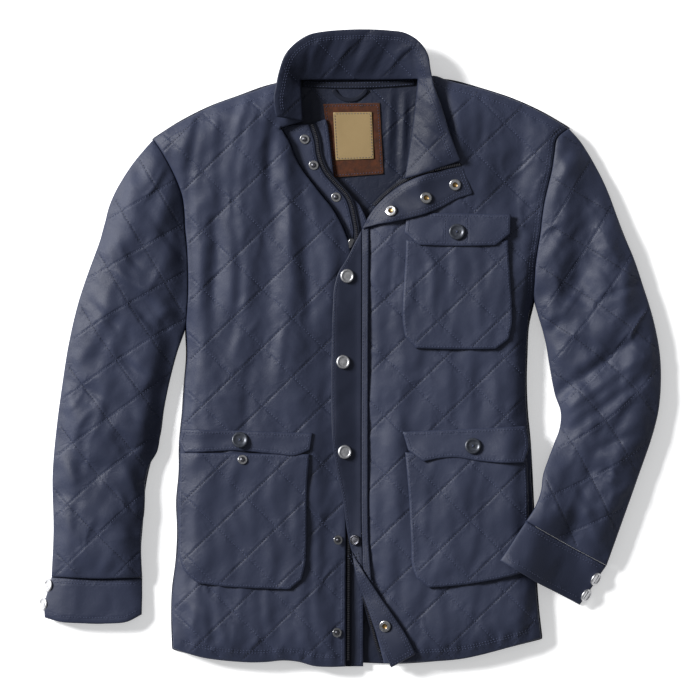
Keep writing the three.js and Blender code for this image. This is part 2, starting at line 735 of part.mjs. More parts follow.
const pockets = [
  {
    name: 'right_pocket', on: 'right_front', quilt: flatQuilt([247, 498]),
    bag: [
      [[180, 452], [178.5, 518], [180, 560.6], [184, 571], [198, 583.6]],
      [[198, 583.6], [233, 587.5], [290, 589.7]],
      [[290, 589.7], [302.4, 579], [307.5, 487], [310, 454]],
      [[310, 454], [180, 452]],
    ],
    flap: [
      [[182, 429], [240, 430.5], [313, 433]],
      [[313, 433], [309, 452], [294.7, 456]],
      [[294.7, 456], [267, 453.5], [236.5, 450.7], [210, 452], [184, 452.7]],
      [[184, 452.7], [178.4, 446.6], [182, 429]],
    ],
  },
  {
    name: 'left_pocket', on: 'left_front', quilt: flatQuilt([470, 520]),
    bag: [
      [[405, 452], [408.8, 498], [411, 540], [414.4, 575.4], [429, 588]],
      [[429, 588], [464, 585], [506, 577.5], [528, 571]],
      [[528, 571], [528.5, 500], [527, 458]],
      [[527, 458], [405, 452]],
    ],
    flap: [
      [[402.4, 431.6], [460, 429], [526, 426]],
      [[526, 426], [528, 436.5], [529, 456], [524.5, 463]],
      [[524.5, 463], [499, 463], [478, 461], [450, 457.5], [423.5, 461.7]],
      [[423.5, 461.7], [410, 453.3], [402.4, 431.6]],
    ],
  },
  {
    name: 'chest_pocket', on: 'left_front', quilt: flatQuilt([438, 321]),
    bag: [
      [[406, 240], [405, 337], [416, 348.7]], [[416, 348.7], [460, 349.7], [496, 349.3]],
      [[496, 349.3], [509.5, 339], [508.6, 240]], [[508.6, 240], [406, 240]],
    ],
    flap: [
      [[407, 213], [457, 213], [511, 214.4]], [[511, 214.4], [509.7, 236], [496, 245.7]],
      [[496, 245.7], [458, 246.4], [419, 245.4]], [[419, 245.4], [405, 235], [407, 213]],
    ],
  },
];

for (const { name, on, quilt, bag, flap } of pockets) {
  layCloth(name, bag.map((points) => run(points)), { over: [on], wall: 4, quilt, puff: 2, slope: 0.9 });
  layCloth(`${name}_flap`, flap.map((points) => run(points)), {
    over: [on, name], wall: 3.4, grid: squareGrid(24), slope: 0.9 });
}

// Metal snaps, flap buttons and the zip slider, each seated on the cloth under it

const turned = (profile) => (radius) => new THREE.LatheGeometry(
  profile.map(([share, height]) => new THREE.Vector2(share * radius, height)), 14).rotateX(Math.PI / 2);
const snapCap = turned([[0, 0], [0.92, 0], [1, 0.9], [0.84, 2.6], [0, 3.2]]);
const snapStud = turned([[0, 0], [1, 0], [1, 0.9], [0.46, 1.3], [0.42, 3], [0, 3.2]]);
const snapSocket = turned([[0, 0], [1, 0], [1, 1.6], [0.76, 2.3], [0.42, 1.9], [0.36, 0.9], [0, 0.9]]);
const flapButton = turned([[0, 0], [1, 0], [1, 2.2], [0.86, 3.1], [0.68, 2.4], [0, 2.2]]);

// Lowers a piece onto the cloth until its flat underside almost touches. It faces along normal, or
// else squarely away from the cloth under it.
function seat({ name, geometry, radius, place, over, finish, normal = null }) {
  const surface = surfaceOf(over);
  const centre = toModel(place);
  const at = (dx, dy) => sample(surface, { x: centre.x + dx, y: centre.y + dy });
  const facing = (normal ?? new THREE.Vector3(at(-radius, 0) - at(radius, 0),
    at(0, -radius) - at(0, radius), 2 * radius)).clone().normalize();
  const rise = (dx, dy) => -(facing.x * dx + facing.y * dy) / facing.z;
  let lift = -Infinity;
  for (let dx = -radius; dx <= radius; dx += 0.5) {
    for (let dy = -radius; dy <= radius; dy += 0.5) {
      if (Math.hypot(dx, dy, rise(dx, dy)) <= radius) lift = Math.max(lift, at(dx, dy) - rise(dx, dy));
    }
  }
  const mesh = addMesh(name, geometry, finish);
  mesh.quaternion.setFromUnitVectors(new THREE.Vector3(0, 0, 1), facing);
  mesh.position.set(centre.x, centre.y, lift + layerGap / facing.z);
  return mesh;
}

function slider({ width, length, height }) {
  const bevel = 0.5;
  const body = new THREE.Shape([[-0.5, 0.3], [-0.3, 0.5], [0.3, 0.5], [0.5, 0.3], [0.34, -0.5], [-0.34, -0.5]]
    .map(([x, y]) => new THREE.Vector2(x * (width - 2 * bevel), y * (length - 2 * bevel))));
  return new THREE.ExtrudeGeometry(body, { depth: height - 2 * bevel, bevelThickness: bevel,
    bevelSize: bevel, bevelSegments: 1 }).translate(0, 0, bevel);
}

// The slider stands at the lower end of the open stretch of the zip.
const sliderSize = { width: 9, length: 13, height: 3.4 };
const sliderMesh = seat({ name: 'zip_slider', geometry: slider(sliderSize), radius: sliderSize.length / 2,
  place: [350.5, 243], over: ['right_front', 'right_stand', 'zip_right', 'zip_guard'], finish: 'metal' });
sliderMesh.updateMatrixWorld();
const sliderFaces = sliderMesh.geometry.clone().applyMatrix4(sliderMesh.matrixWorld).getAttribute('position');
const sliderPoints = [...Array(sliderFaces.count).keys()].map((i) => (
  new THREE.Vector3().fromBufferAttribute(sliderFaces, i)));
tops.set('zip_slider', rasterOf(sliderPoints, sliderPoints.flatMap((_, i) => (
  i % 3 === 0 ? [[i, i + 1, i + 2]] : [])), sliderPoints.map(({ z }) => z)));

// Storm flap along the zip, its seam, and its two ends that lie turned back

const stormTurn = [352, 552];
const stormEdge = run([stormTurn, [347, 532], [343, 501], [338, 478], [333, 449], [331, 400], [333, 300],
  [335, 281], [339, 271], [347, 258], [354, 244], [362, 229]]);
const lapelFold = run([[362, 229], [368, 217], [375, 207]]);
const seamLine = run([[362, 229], [362, 300], [361.5, 450], [362, 540], [364, 572]], { spacing: 30 });
const turnLine = run([[364, 572], stormTurn]);

layCloth('storm_flap', [seamLine, turnLine, stormEdge], {
  over: ['right_front', 'right_stand', 'zip_right', 'zip_guard', 'zip_slider', 'left_front', 'back'],
  wall: 3.2, grid: squareGrid(16), slope: 0.5 });

layCloth('storm_flap_seam', [
  run([[362, 229], [369, 226]]), run([[369, 226], [368.6, 300], [368, 450], [368.6, 540], [372, 584]],
    { spacing: 30 }),
  run([[372, 584], [364, 572]]), reversed(seamLine),
], { over: ['left_front', 'back'], wall: 3.4, slope: 0.6, ring: 0 });

layCloth('storm_flap_end', [
  run([stormTurn, [356, 577], [366, 605], [376, 633], [391, 668]]), run([[391, 668], [416, 654]]),
  run([[416, 654], [407, 636], [396, 619], [382, 599], [364, 572]]), turnLine,
], { over: ['left_front', 'storm_flap_seam', 'back'], wall: 3, grid: squareGrid(18), slope: 0.5, ring: 3 });

layCloth('storm_flap_lapel', [
  reversed(lapelFold), run([[362, 229], [369, 226], [387, 223.5], [403, 220], [432, 212], [460, 198],
    [473.5, 194]]),
  run([[473.5, 194], [468, 180], [463, 166]]),
  run([[463, 166], [439, 171], [416, 177.5], [393, 190], [375, 207]]),
], { over: ['left_front', 'storm_flap_seam', 'chest_pocket_flap'], wall: 3, grid: squareGrid(18),
  slope: 0.8 });

const lapelZipLine = run([[375, 207], [393, 190], [416, 177.5], [439, 171], [462, 166]]);
layCloth('zip_left_top', band(lapelZipLine, ...strips.leftTeeth), { over: ['left_front'], wall: 3, ring: 0 });

const lowerZipLine = run([[384, 660], [379, 645], [371, 615], [366, 596]]);
layCloth('zip_left_bottom', band(lowerZipLine, ...strips.leftTeeth), {
  rest: () => lowerZipHeight, over: ['back', 'zip_guard'], wall: 3, ring: 0 });

// Collar: a band that rises from the neck seam to its free edge

const collarSeam = [
  run([[303, 121, 15], [302, 100, 15], [300.5, 80, 9]]),
  run([[300.5, 80, 9], [330, 79.5, 6], [378, 79.5, 6], [417.5, 79, 9]]),
  run([[417.5, 79, 9], [415.5, 100, 15], [410.5, 140, 18], [404.5, 179.5, 18]]),
];
const collarEdge = run([[461, 161, 42], [451, 136, 44], [443, 110, 44], [434, 85, 44], [431, 70.5, 42],
  [427.5, 53, 38], [411, 35, 34], [378, 29.5, 32], [332, 30.5, 32], [309, 34.5, 34], [293, 45, 36],
  [283, 58, 40], [277.5, 78, 44], [273.5, 100, 44], [276, 117, 42]]);
const seamPath = joined(...collarSeam);
const collarRest = (p) => {
  const fromSeam = distanceTo(seamPath.points, p);
  const fromEdge = distanceTo(collarEdge.points, p);
  const share = fromSeam / (fromSeam + fromEdge);
  return THREE.MathUtils.lerp(heightAlong(seamPath, p), heightAlong(collarEdge, p), share ** 0.85);
};
layCloth('collar', [
  ...collarSeam, run([[404.5, 179.5], [432, 171], [461, 161]]), collarEdge,
  run([[276, 117], [303, 121]]),
], { rest: collarRest, over: ['back', 'right_front', 'left_front', 'neck_tape', 'zip_left_top'], wall: 4.2,
  grid: squareGrid(19), quilt: flatQuilt([428, 150]), puff: 1.2, slope: 2 });

// Wearer's left sleeve, whose cuff lies on the side of the body

const cuffReach = toModel([0, 470]).y; // only below this line does the sleeve lie on the body
tops.set('body_under_cuff', groundUnder(['back', 'left_front', 'left_pocket', 'left_pocket_flap'])
  .map((z, cell) => {
    const y = terrain.minY + Math.floor(cell / terrain.columns) * terrain.step;
    return y < cuffReach ? z : 0;
  }));
const sleeveFall = 0.55;
const leftSleeveGround = draped(tops.get('body_under_cuff'), sleeveFall);
const leftSleeveBase = (p) => sample(leftSleeveGround, p);

const leftSleeveRuns = [
  leftArmhole, rolled(reversed(run(seams.leftSleeveInner)), rolls.sleeve), rolled(leftCuffSeam, rolls.cuff),
  rolled(reversed(run(seams.leftSleeveOuter)), rolls.sleeve),
];
const leftSleeveFolds = foldsFrom([
  [566, 410, 636, 356, 9, -6],
  [560, 424, 640, 386, 11, 6],
  [566, 400, 590, 376, 8, 4],
  [552, 300, 600, 262, 12, -4],
  [560, 340, 640, 318, 13, 4],
  [556, 470, 630, 478, 12, -4],
  [548, 500, 612, 520, 11, 4],
]);
layCloth('left_sleeve_under', [coarse(seams.leftArmhole), ...leftSleeveRuns.slice(1)], {
  rest: leftSleeveBase, over: ['body_under_cuff'], wall: quiltWall, grid: squareGrid(36),
  slope: sleeveFall });
const leftSleeveBulge = bulge(sleeveLoft, leftSleeveRuns, leftSleeveFolds);
layCloth('left_sleeve_top', leftSleeveRuns, {
  rest: (p) => leftSleeveBase(p) + quiltWall + layerGap + leftSleeveBulge(p), over: ['left_sleeve_under'],
  wall: quiltWall, quilt: sleeveQuilts.left });

const leftCuffRuns = [
  run([[526, 521], [514, 539], [504, 554.7], [499.5, 560.5]], { roll: rolls.sleeve }),
  run([[499.5, 560.5], [521, 573], [542, 585.6], [556, 592.6], [580, 605.5]], { roll: rolls.cuff }),
  run([[580, 605.5], [586, 598], [593, 586], [600, 576], [607, 566]], { roll: rolls.sleeve }),
  rolled(reversed(leftCuffSeam), rolls.cuff),
];
layCloth('left_cuff_under', leftCuffRuns, {
  rest: leftSleeveBase, over: ['body_under_cuff'], wall: cuffWall, grid: squareGrid(30), slope: sleeveFall });
const leftCuffBulge = bulge(cuffLoft, leftCuffRuns);
layCloth('left_cuff_top', leftCuffRuns, {
  rest: (p) => leftSleeveBase(p) + cuffWall + layerGap + leftCuffBulge(p), over: ['left_cuff_under'],
  wall: cuffWall });

// Snaps and buttons in their places

const stormLayers = ['storm_flap', 'right_front'];
// name, shape, radius, x, y, what it is seated on, finish
const fastenings = [
  ['snap_cap_1', snapCap, 9.5, [347, 276], stormLayers, 'metal'],
  ['snap_cap_2', snapCap, 9.5, [343, 362], stormLayers, 'metal'],
  ['snap_cap_3', snapCap, 9.5, [344.6, 452], stormLayers, 'metal'],
  ['snap_cap_4', snapCap, 7, [355, 540], stormLayers, 'metal'],
  ['stand_stud_1', snapStud, 6.5, [304.6, 139], ['right_stand'], 'metal'],
  ['stand_stud_2', snapStud, 6.5, [313.6, 165], ['right_stand'], 'metal'],
  ['stand_stud_3', snapStud, 6.5, [336, 197], ['right_stand'], 'metal'],
  ['front_stud_1', snapStud, 6.5, [338, 540], ['right_front'], 'metal'],
  ['front_stud_2', snapStud, 6.5, [337, 632.6], ['right_front'], 'metal'],
  ['pocket_stud', snapStud, 6.5, [242.6, 459.5], ['right_pocket'], 'metal'],
  ['lapel_socket_1', snapSocket, 8, [391, 211], ['storm_flap_lapel'], 'metal'],
  ['lapel_socket_2', snapSocket, 8, [426, 198], ['storm_flap_lapel'], 'metal'],
  ['lapel_socket_3', snapSocket, 8, [455, 185], ['storm_flap_lapel'], 'metal'],
  ['end_socket', snapSocket, 8, [385, 626], ['storm_flap_end'], 'metal'],
  ['chest_button', flapButton, 11, [457, 232], ['chest_pocket_flap'], 'button'],
  ['right_pocket_button', flapButton, 11, [240, 440], ['right_pocket_flap'], 'button'],
  ['left_pocket_button', flapButton, 11, [473, 446], ['left_pocket_flap'], 'button'],
];
for (const [name, shape, radius, place, over, finish] of fastenings) {
  seat({ name, geometry: shape(radius), radius, place, over, finish });
}

// The cuffs' snaps sit on the rolled outer edge, so that they face outwards.
const cuffSnapTilt = THREE.MathUtils.degToRad(58);
const cuffSnapRadius = 9.5;
// name, x, y in picture units, the cuff that carries it, the way that it faces seen from above in degrees
const cuffSnaps = [
  ['right_cuff_snap_1', 48.3, 586, 'right_cuff_top', 172],
  ['right_cuff_snap_2', 43.4, 604.5, 'right_cuff_top', 176],
  ['left_cuff_snap_1', 595.6, 579, 'left_cuff_top', -33],
  ['left_cuff_snap_2', 586, 595.2, 'left_cuff_top', -33],
];
for (const [name, x, y, carrier, facing] of cuffSnaps) {
  const normal = new THREE.Vector3(Math.sin(cuffSnapTilt), 0, Math.cos(cuffSnapTilt))
    .applyAxisAngle(new THREE.Vector3(0, 0, 1), THREE.MathUtils.degToRad(facing));
  seat({ name, geometry: snapCap(cuffSnapRadius), radius: cuffSnapRadius, place: [x, y], over: [carrier],
    finish: 'metal', normal });
}

// The origin is under the middle of the whole jacket, on the surface that it lies on.
const extent = new THREE.Box3().setFromObject(jacket);
const middle = extent.getCenter(new THREE.Vector3());
jacket.position.set(-middle.x, -middle.y, -extent.min.z);

export default jacket;
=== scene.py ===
"""A quilted field jacket, laid flat on its back with the collar and the front edge turned open.

Each cloth piece is cut again from the outline of its solid, on a mesh fine enough for the quilting
seams, the creases and the rolled edges. It lies at the solid's own heights. Lengths are in metres.
"""

import math
from collections import namedtuple

import bpy
import numpy as np
from bpy.props import FloatProperty, FloatVectorProperty, PointerProperty
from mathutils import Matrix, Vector
from mathutils.geometry import delaunay_2d_cdt
from mathutils.kdtree import KDTree


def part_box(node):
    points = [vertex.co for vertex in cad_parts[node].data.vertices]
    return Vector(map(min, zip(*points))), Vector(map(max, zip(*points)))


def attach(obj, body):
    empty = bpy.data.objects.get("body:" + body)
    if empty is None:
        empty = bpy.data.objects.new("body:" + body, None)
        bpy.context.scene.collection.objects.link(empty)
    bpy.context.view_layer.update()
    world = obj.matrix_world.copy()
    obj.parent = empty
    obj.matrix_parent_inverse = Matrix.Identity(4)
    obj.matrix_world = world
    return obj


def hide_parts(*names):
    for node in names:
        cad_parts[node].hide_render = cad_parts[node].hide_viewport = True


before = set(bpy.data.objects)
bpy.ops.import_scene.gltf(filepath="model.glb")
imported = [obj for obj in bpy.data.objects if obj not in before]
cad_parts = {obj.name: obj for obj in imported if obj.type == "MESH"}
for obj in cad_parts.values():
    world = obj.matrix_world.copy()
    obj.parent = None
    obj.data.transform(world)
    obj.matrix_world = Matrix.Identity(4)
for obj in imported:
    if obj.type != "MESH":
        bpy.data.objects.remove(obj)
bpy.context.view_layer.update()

bl_info = {
    "name": "Quilted jacket",
    "version": (1, 0, 0),
    "blender": (4, 5, 0),
    "location": "View3D > Sidebar > Jacket",
    "description": "Builds a quilted jacket that lies flat, piece by piece",
    "category": "Object",
}

MM = 0.001

# Places in the picture are given in its own units. The neck label fixes where they lie.
PICTURE_UNIT = 0.742 / 550
LABEL_CENTRE = (353.5, 135.7)
LABEL_LOW, LABEL_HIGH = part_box("neck_label")
ORIGIN_X = LABEL_CENTRE[0] - (LABEL_LOW.x + LABEL_HIGH.x) / 2 / PICTURE_UNIT
ORIGIN_Y = LABEL_CENTRE[1] + (LABEL_LOW.y + LABEL_HIGH.y) / 2 / PICTURE_UNIT

# The quilting's diamonds, and how far from a seam the mesh has its rows, in millimetres
DIAMOND = (81 * MM, 79 * MM)
DIAMOND_HEIGHT = 1 / math.hypot(1 / DIAMOND[0], 1 / DIAMOND[1])
DIAMOND_SIDE = math.hypot(*DIAMOND) / 2
SEAM_ROWS = (0, 1.0, 2.2, 4.0, 7.0, 11.0, 15.5, 20.0, 24.5)

# Spacings of rasters, outlines and the plain under side
GRID_STEP = 2 * MM
OUTLINE_STEP = 3 * MM
FINE_STEP = 0.8 * MM
UNDER_STEP = 9 * MM

# How thin a layer may be inside and at its edge, and how near the floor a sewn-down edge reaches
LEAST_WALL = 1.2 * MM
LEAST_EDGE = 0.6 * MM
SEWN_DOWN_TO = 0.5 * MM

# Over what distance from its edge a cloth's unevenness grows, and how it ripples inside a wave
FADE = 12 * MM
RIPPLE = 24 * MM
RIPPLE_SHARE = 0.25

# How far the pull of a quilting seam and of other sewing reaches
QUILT_PULL = 7 * MM
SEWN_PULL = 5 * MM


def place(points):
    """Points of the picture as points of the row frame, seen from above."""
    flat = np.asarray(points, float).reshape(-1, 2)
    return np.stack([flat[:, 0] - ORIGIN_X, ORIGIN_Y - flat[:, 1]], axis=1) * PICTURE_UNIT


# Lines


def arc_lengths(points):
    return np.concatenate([[0], np.cumsum(np.linalg.norm(np.diff(points, axis=0), axis=1))])


def resampled(points, spacing):
    """The same line with points evenly spaced along it."""
    along = arc_lengths(points)
    count = max(1, round(along[-1] / spacing))
    at = np.linspace(0, along[-1], count + 1)
    return np.stack([np.interp(at, along, points[:, k]) for k in range(points.shape[1])], axis=1)


def smooth_line(knots, spacing, closed=False):
    """A centripetal curve through the knots."""
    knots = np.asarray(knots, float)
    if closed:
        padded = np.concatenate([knots[-1:], knots, knots[:2]])
    else:
        padded = np.concatenate([[2 * knots[0] - knots[1]], knots, [2 * knots[-1] - knots[-2]]])
    share = np.linspace(0, 1, 12, endpoint=False)[:, None]
    stretches = []
    for p0, p1, p2, p3 in zip(padded, padded[1:], padded[2:], padded[3:]):
        sides = (p1 - p0, p2 - p1, p3 - p2)
        t0, t1, t2 = (max(math.sqrt(np.linalg.norm(side)), 1e-6) for side in sides)
        start = ((p1 - p0) / t0 - (p2 - p0) / (t0 + t1) + (p2 - p1) / t1) * t1
        end = ((p2 - p1) / t1 - (p3 - p1) / (t1 + t2) + (p3 - p2) / t2) * t1
        cubic, square = 2 * (p1 - p2) + start + end, 3 * (p2 - p1) - 2 * start - end
        stretches.append(((cubic * share + square) * share + start) * share + p1)
    line = np.concatenate([*stretches, [knots[0] if closed else knots[-1]]])
    return resampled(line, spacing)


def directions(points, closed=False):
    ahead = np.roll(points, -1, axis=0) - np.roll(points, 1, axis=0)
    if not closed:
        ahead[0], ahead[-1] = points[1] - points[0], points[-1] - points[-2]
    return ahead / np.maximum(np.linalg.norm(ahead, axis=1), 1e-9)[:, None]


def beside(points, distance, closed=False):
    """The line moved to its own left."""
    along = directions(points, closed)
    return points + distance * np.stack([-along[:, 1], along[:, 0]], axis=1)


def tree_of(points):
    tree = KDTree(len(points))
    for i, (x, y) in enumerate(points):
        tree.insert((x, y, 0), i)
    tree.balance()
    return tree


class Line:
    """A line that tells how far points are from it."""

    def __init__(self, points):
        self.points = points
        self.fine = resampled(points, FINE_STEP)
        self.tree = tree_of(self.fine)

    def nearest(self, point):
        return self.tree.find((point[0], point[1], 0))[1]

    def gap(self, points, reach=20 * MM):
        """The distances of the points, or infinity for those far out of reach."""
        near = ((points > self.fine.min(0) - reach) & (points < self.fine.max(0) + reach)).all(1)
        gap = np.full(len(points), np.inf)
        gap[near] = [self.tree.find((x, y, 0))[2] for x, y in points[near]]
        return gap


def soft_noise(points, across, along, seed):
    """A smooth uneven surface about between -1 and 1, with waves of that size along X and along Y."""
    random = np.random.default_rng(seed)
    scaled = points / [across, along]
    bend = 0.35 * np.sin(scaled[:, ::-1] * math.tau / 1.7 + random.uniform(0, math.tau, 2))
    total = np.zeros(len(points))
    for _ in range(9):
        angle = random.uniform(0, math.tau)
        phase = random.uniform(0, math.tau)
        size = random.uniform(0.7, 1.8)
        way = np.array([math.cos(angle), math.sin(angle)])
        total += np.sin((scaled + bend) @ way * math.tau / size + phase)
    return total / 4


# Quilting: the seams run along whole values of a and of b


class FlatQuilt:
    """Quilting in straight lines, with one of its crossings at a place in the picture."""

    def __init__(self, crossing):
        self.centre = place(crossing)[0]

    def to_plan(self, a, b):
        return self.centre + np.stack([DIAMOND[0] * (a + b) / 2, DIAMOND[1] * (a - b) / 2], axis=-1)

    def from_plan(self, points):
        x, y = (points - self.centre).T
        return x / DIAMOND[0] + y / DIAMOND[1], x / DIAMOND[0] - y / DIAMOND[1]


class SleeveQuilt:
    """Quilting that follows the middle line of a sleeve."""

    def __init__(self, middle):
        self.line = smooth_line(place(middle), 12 * MM)
        self.lengths = arc_lengths(self.line)
        ahead = np.diff(self.line, axis=0)
        self.ahead = ahead / np.linalg.norm(ahead, axis=1)[:, None]

    def to_plan(self, a, b):
        along, across = DIAMOND[1] * (a - b) / 2, DIAMOND[0] * (a + b) / 2
        index = np.clip(np.searchsorted(self.lengths, along, side="right") - 1, 0, len(self.ahead) - 1)
        rest, ahead = (along - self.lengths[index])[..., None], self.ahead[index]
        side = np.stack([-ahead[..., 1], ahead[..., 0]], axis=-1)
        return self.line[index] + ahead * rest + side * across[..., None]

    def from_plan(self, points):
        best = np.full(len(points), np.inf)
        a, b = np.zeros(len(points)), np.zeros(len(points))
        for start, ahead, length, size in zip(self.line, self.ahead, self.lengths, np.diff(self.lengths)):
            offset = points - start
            along = offset @ ahead
            across = offset[:, 1] * ahead[0] - offset[:, 0] * ahead[1]
            gap = np.hypot(across, along - np.clip(along, 0, size))
            near = gap < best
            best[near] = gap[near]
            a[near] = (across / DIAMOND[0] + (length + along) / DIAMOND[1])[near]
            b[near] = (across / DIAMOND[0] - (length + along) / DIAMOND[1])[near]
        return a, b


def seam_distance(quilt, points):
    """How far each point is from the nearest quilting seam."""
    shares = [np.abs(value - np.round(value)) for value in quilt.from_plan(points)]
    return np.min(shares, axis=0) * DIAMOND_HEIGHT


def quilt_points(quilt, outline):
    """Mesh points around the outline's inside, in rows that gather at the seams."""
    rows = np.array(SEAM_ROWS) * MM / DIAMOND_HEIGHT
    steps = np.unique(np.concatenate([rows, 1 - rows, [0.5]]) % 1)
    spans = [np.arange(math.floor(v.min()) - 1, math.ceil(v.max()) + 1) for v in quilt.from_plan(outline)]
    a, b = np.meshgrid(*((span[:, None] + steps).ravel() for span in spans), indexing="ij")
    return true_points(quilt, a.ravel(), b.ravel())[0]


def true_points(quilt, a, b):
    """The places of quilting values that lead back to the same values, and which those are."""
    points = quilt.to_plan(a, b)
    back = quilt.from_plan(points)
    true = np.hypot(back[0] - a, back[1] - b) < 0.02
    return points[true], true


# Heights read from a solid


class Relief:
    """The height of one side of a solid on a square raster, smoothed."""

    def __init__(self, points, triangles, blur):
        self.low = points[:, :2].min(0) - 8 * GRID_STEP
        size = np.ceil((points[:, :2].max(0) - self.low) / GRID_STEP).astype(int) + 8
        self.heights = np.full(size, np.nan)
        for triangle in triangles:
            self.fill(points[triangle])
        self.inside = ~np.isnan(self.heights)
        self.smooth(blur)

    def fill(self, corners):
        (ax, ay, az), (bx, by, bz), (cx, cy, cz) = corners
        area = (bx - ax) * (cy - ay) - (cx - ax) * (by - ay)
        if abs(area) < 1e-12:
            return
        first = np.ceil((corners[:, :2].min(0) - self.low) / GRID_STEP).astype(int)
        last = np.floor((corners[:, :2].max(0) - self.low) / GRID_STEP).astype(int) + 1
        i, j = np.meshgrid(np.arange(first[0], last[0]), np.arange(first[1], last[1]), indexing="ij")
        x, y = self.low[0] + i * GRID_STEP, self.low[1] + j * GRID_STEP
        u = ((bx - x) * (cy - y) - (cx - x) * (by - y)) / area
        v = ((cx - x) * (ay - y) - (ax - x) * (cy - y)) / area
        hit = (u >= -1e-6) & (v >= -1e-6) & (u + v <= 1 + 1e-6)
        self.heights[i[hit], j[hit]] = (az * u + bz * v + cz * (1 - u - v))[hit]

    def smooth(self, blur):
        """Blurs within the outline, and carries the heights on past it."""
        reach = max(3, math.ceil(3 * blur / GRID_STEP))
        weights = np.exp(-((np.arange(-reach, reach + 1) * GRID_STEP / blur) ** 2) / 2)
        share = self.inside.astype(float)
        total = np.where(self.inside, self.heights, 0)
        for axis in (0, 1):
            share = np.apply_along_axis(np.convolve, axis, share, weights, mode="same")
            total = np.apply_along_axis(np.convolve, axis, total, weights, mode="same")
        self.heights = np.where(share > 1e-9, total / np.maximum(share, 1e-9), 0)

    def covers(self, points):
        i, j = np.round((points - self.low) / GRID_STEP).astype(int).T
        within = (i >= 0) & (j >= 0) & (i < self.inside.shape[0]) & (j < self.inside.shape[1])
        return within & self.inside[np.where(within, i, 0), np.where(within, j, 0)]

    def at(self, points):
        cell = (points - self.low) / GRID_STEP
        i, j = (np.clip(np.floor(cell[:, k]).astype(int), 0, self.heights.shape[k] - 2) for k in (0, 1))
        u, v = np.clip(cell[:, 0] - i, 0, 1), np.clip(cell[:, 1] - j, 0, 1)
        near = self.heights[i, j] * (1 - u) + self.heights[i + 1, j] * u
        far = self.heights[i, j + 1] * (1 - u) + self.heights[i + 1, j + 1] * u
        return near * (1 - v) + far * v


def solid(node):
    """The welded points of a CAD node, and its triangles."""
    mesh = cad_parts[node].data
    mesh.calc_loop_triangles()
    points = np.array([v.co for v in mesh.vertices], float)
    triangles = np.array([t.vertices for t in mesh.loop_triangles])
    keys, index = np.unique(points.round(6), axis=0, return_inverse=True)
    return keys, index.reshape(-1)[triangles]


def solid_sides(node):
    """The points of a CAD node, with its upper and its lower triangles."""
    points, triangles = solid(node)
    a, b, c = (points[triangles[:, k]] for k in range(3))
    normals = np.cross(b - a, c - a)
    rise = normals[:, 2] / np.maximum(np.linalg.norm(normals, axis=1), 1e-15)
    return points, triangles[rise > 0.02], triangles[rise < -0.02]


def rim_of(points, triangles):
    """The outline of a side as a closed line of points, counter-clockwise seen from above."""
    ahead = {}
    directed = {(int(t[k]), int(t[(k + 1) % 3])) for t in triangles for k in range(3)}
    for i, j in directed:
        if (j, i) not in directed:
            ahead[i] = j
    start = min(ahead)
    loop = [start]
    while ahead[loop[-1]] != start:
        loop.append(ahead[loop[-1]])
    return points[loop, :2]


def fine_outline(loop, corner_angle):
    """The outline with smooth stretches between its corners, evenly and closely spaced."""
    back, ahead = loop - np.roll(loop, 1, axis=0), np.roll(loop, -1, axis=0) - loop
    turn = np.abs(np.arctan2(back[:, 0] * ahead[:, 1] - back[:, 1] * ahead[:, 0], (back * ahead).sum(1)))
    corners = np.flatnonzero(turn > corner_angle)
    if not len(corners):
        return smooth_line(loop, OUTLINE_STEP, closed=True)[:-1]
    turned = np.roll(loop, -corners[0], axis=0)
    marks = [*(corners - corners[0]), len(loop)]
    turned = np.concatenate([turned, turned[:1]])
    stretches = [smooth_line(turned[i:j + 1], OUTLINE_STEP)[:-1] for i, j in zip(marks, marks[1:])]
    return np.concatenate(stretches)


def kept_left(outline, edge):
    """The outline with what lies to the right of an edge that runs down the picture moved onto it."""
    up = edge[::-1]
    most = np.interp(outline[:, 1], up[:, 1], up[:, 0], left=np.inf, right=np.inf)
    outline = np.column_stack([np.minimum(outline[:, 0], most), outline[:, 1]])
    step = np.linalg.norm(outline - np.roll(outline, 1, axis=0), axis=1)
    return outline[step > 0.8 * MM]


def closed(points):
    return np.concatenate([points, points[:1]])


def triangulated(points, count):
    """Triangles that fill the outline, which is the first points, and use all the others."""
    flat = [Vector(p) for p in points]
    _, _, faces, origins, *_ = delaunay_2d_cdt(flat, [], [list(range(count))], 1, 1e-7)
    source = [origin[0] if origin else None for origin in origins]
    if None in source:
        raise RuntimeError("an outline crosses itself")
    return [[source[i] for i in face] for face in faces]


# Cloth pieces

# A crease runs between two places in the picture. Its half width and its rise are in millimetres.
Crease = namedtuple("Crease", "x1 y1 x2 y2 width rise")

# A sewn line lies inside the outline, in millimetres, from one place in the picture to another.
Sewn = namedtuple("Sewn", "inset start end")
ALL_ROUND = (None, None)


def gathers(start, end, count, seed):
    """Short uneven creases side by side along a sewn line, as rows of a crease table."""
    random = np.random.default_rng(seed)
    rows = []
    for k in range(count):
        share = (k + random.uniform(0.2, 0.8)) / count
        x, y = (a + (b - a) * share for a, b in zip(start, end))
        lean, reach = random.uniform(-2, 2), random.uniform(5, 9)
        rise = random.uniform(0.5, 0.9) * (-1) ** k
        rows.append((x - lean, y - reach, x + lean, y + reach, random.uniform(2.4, 4), rise))
    return rows


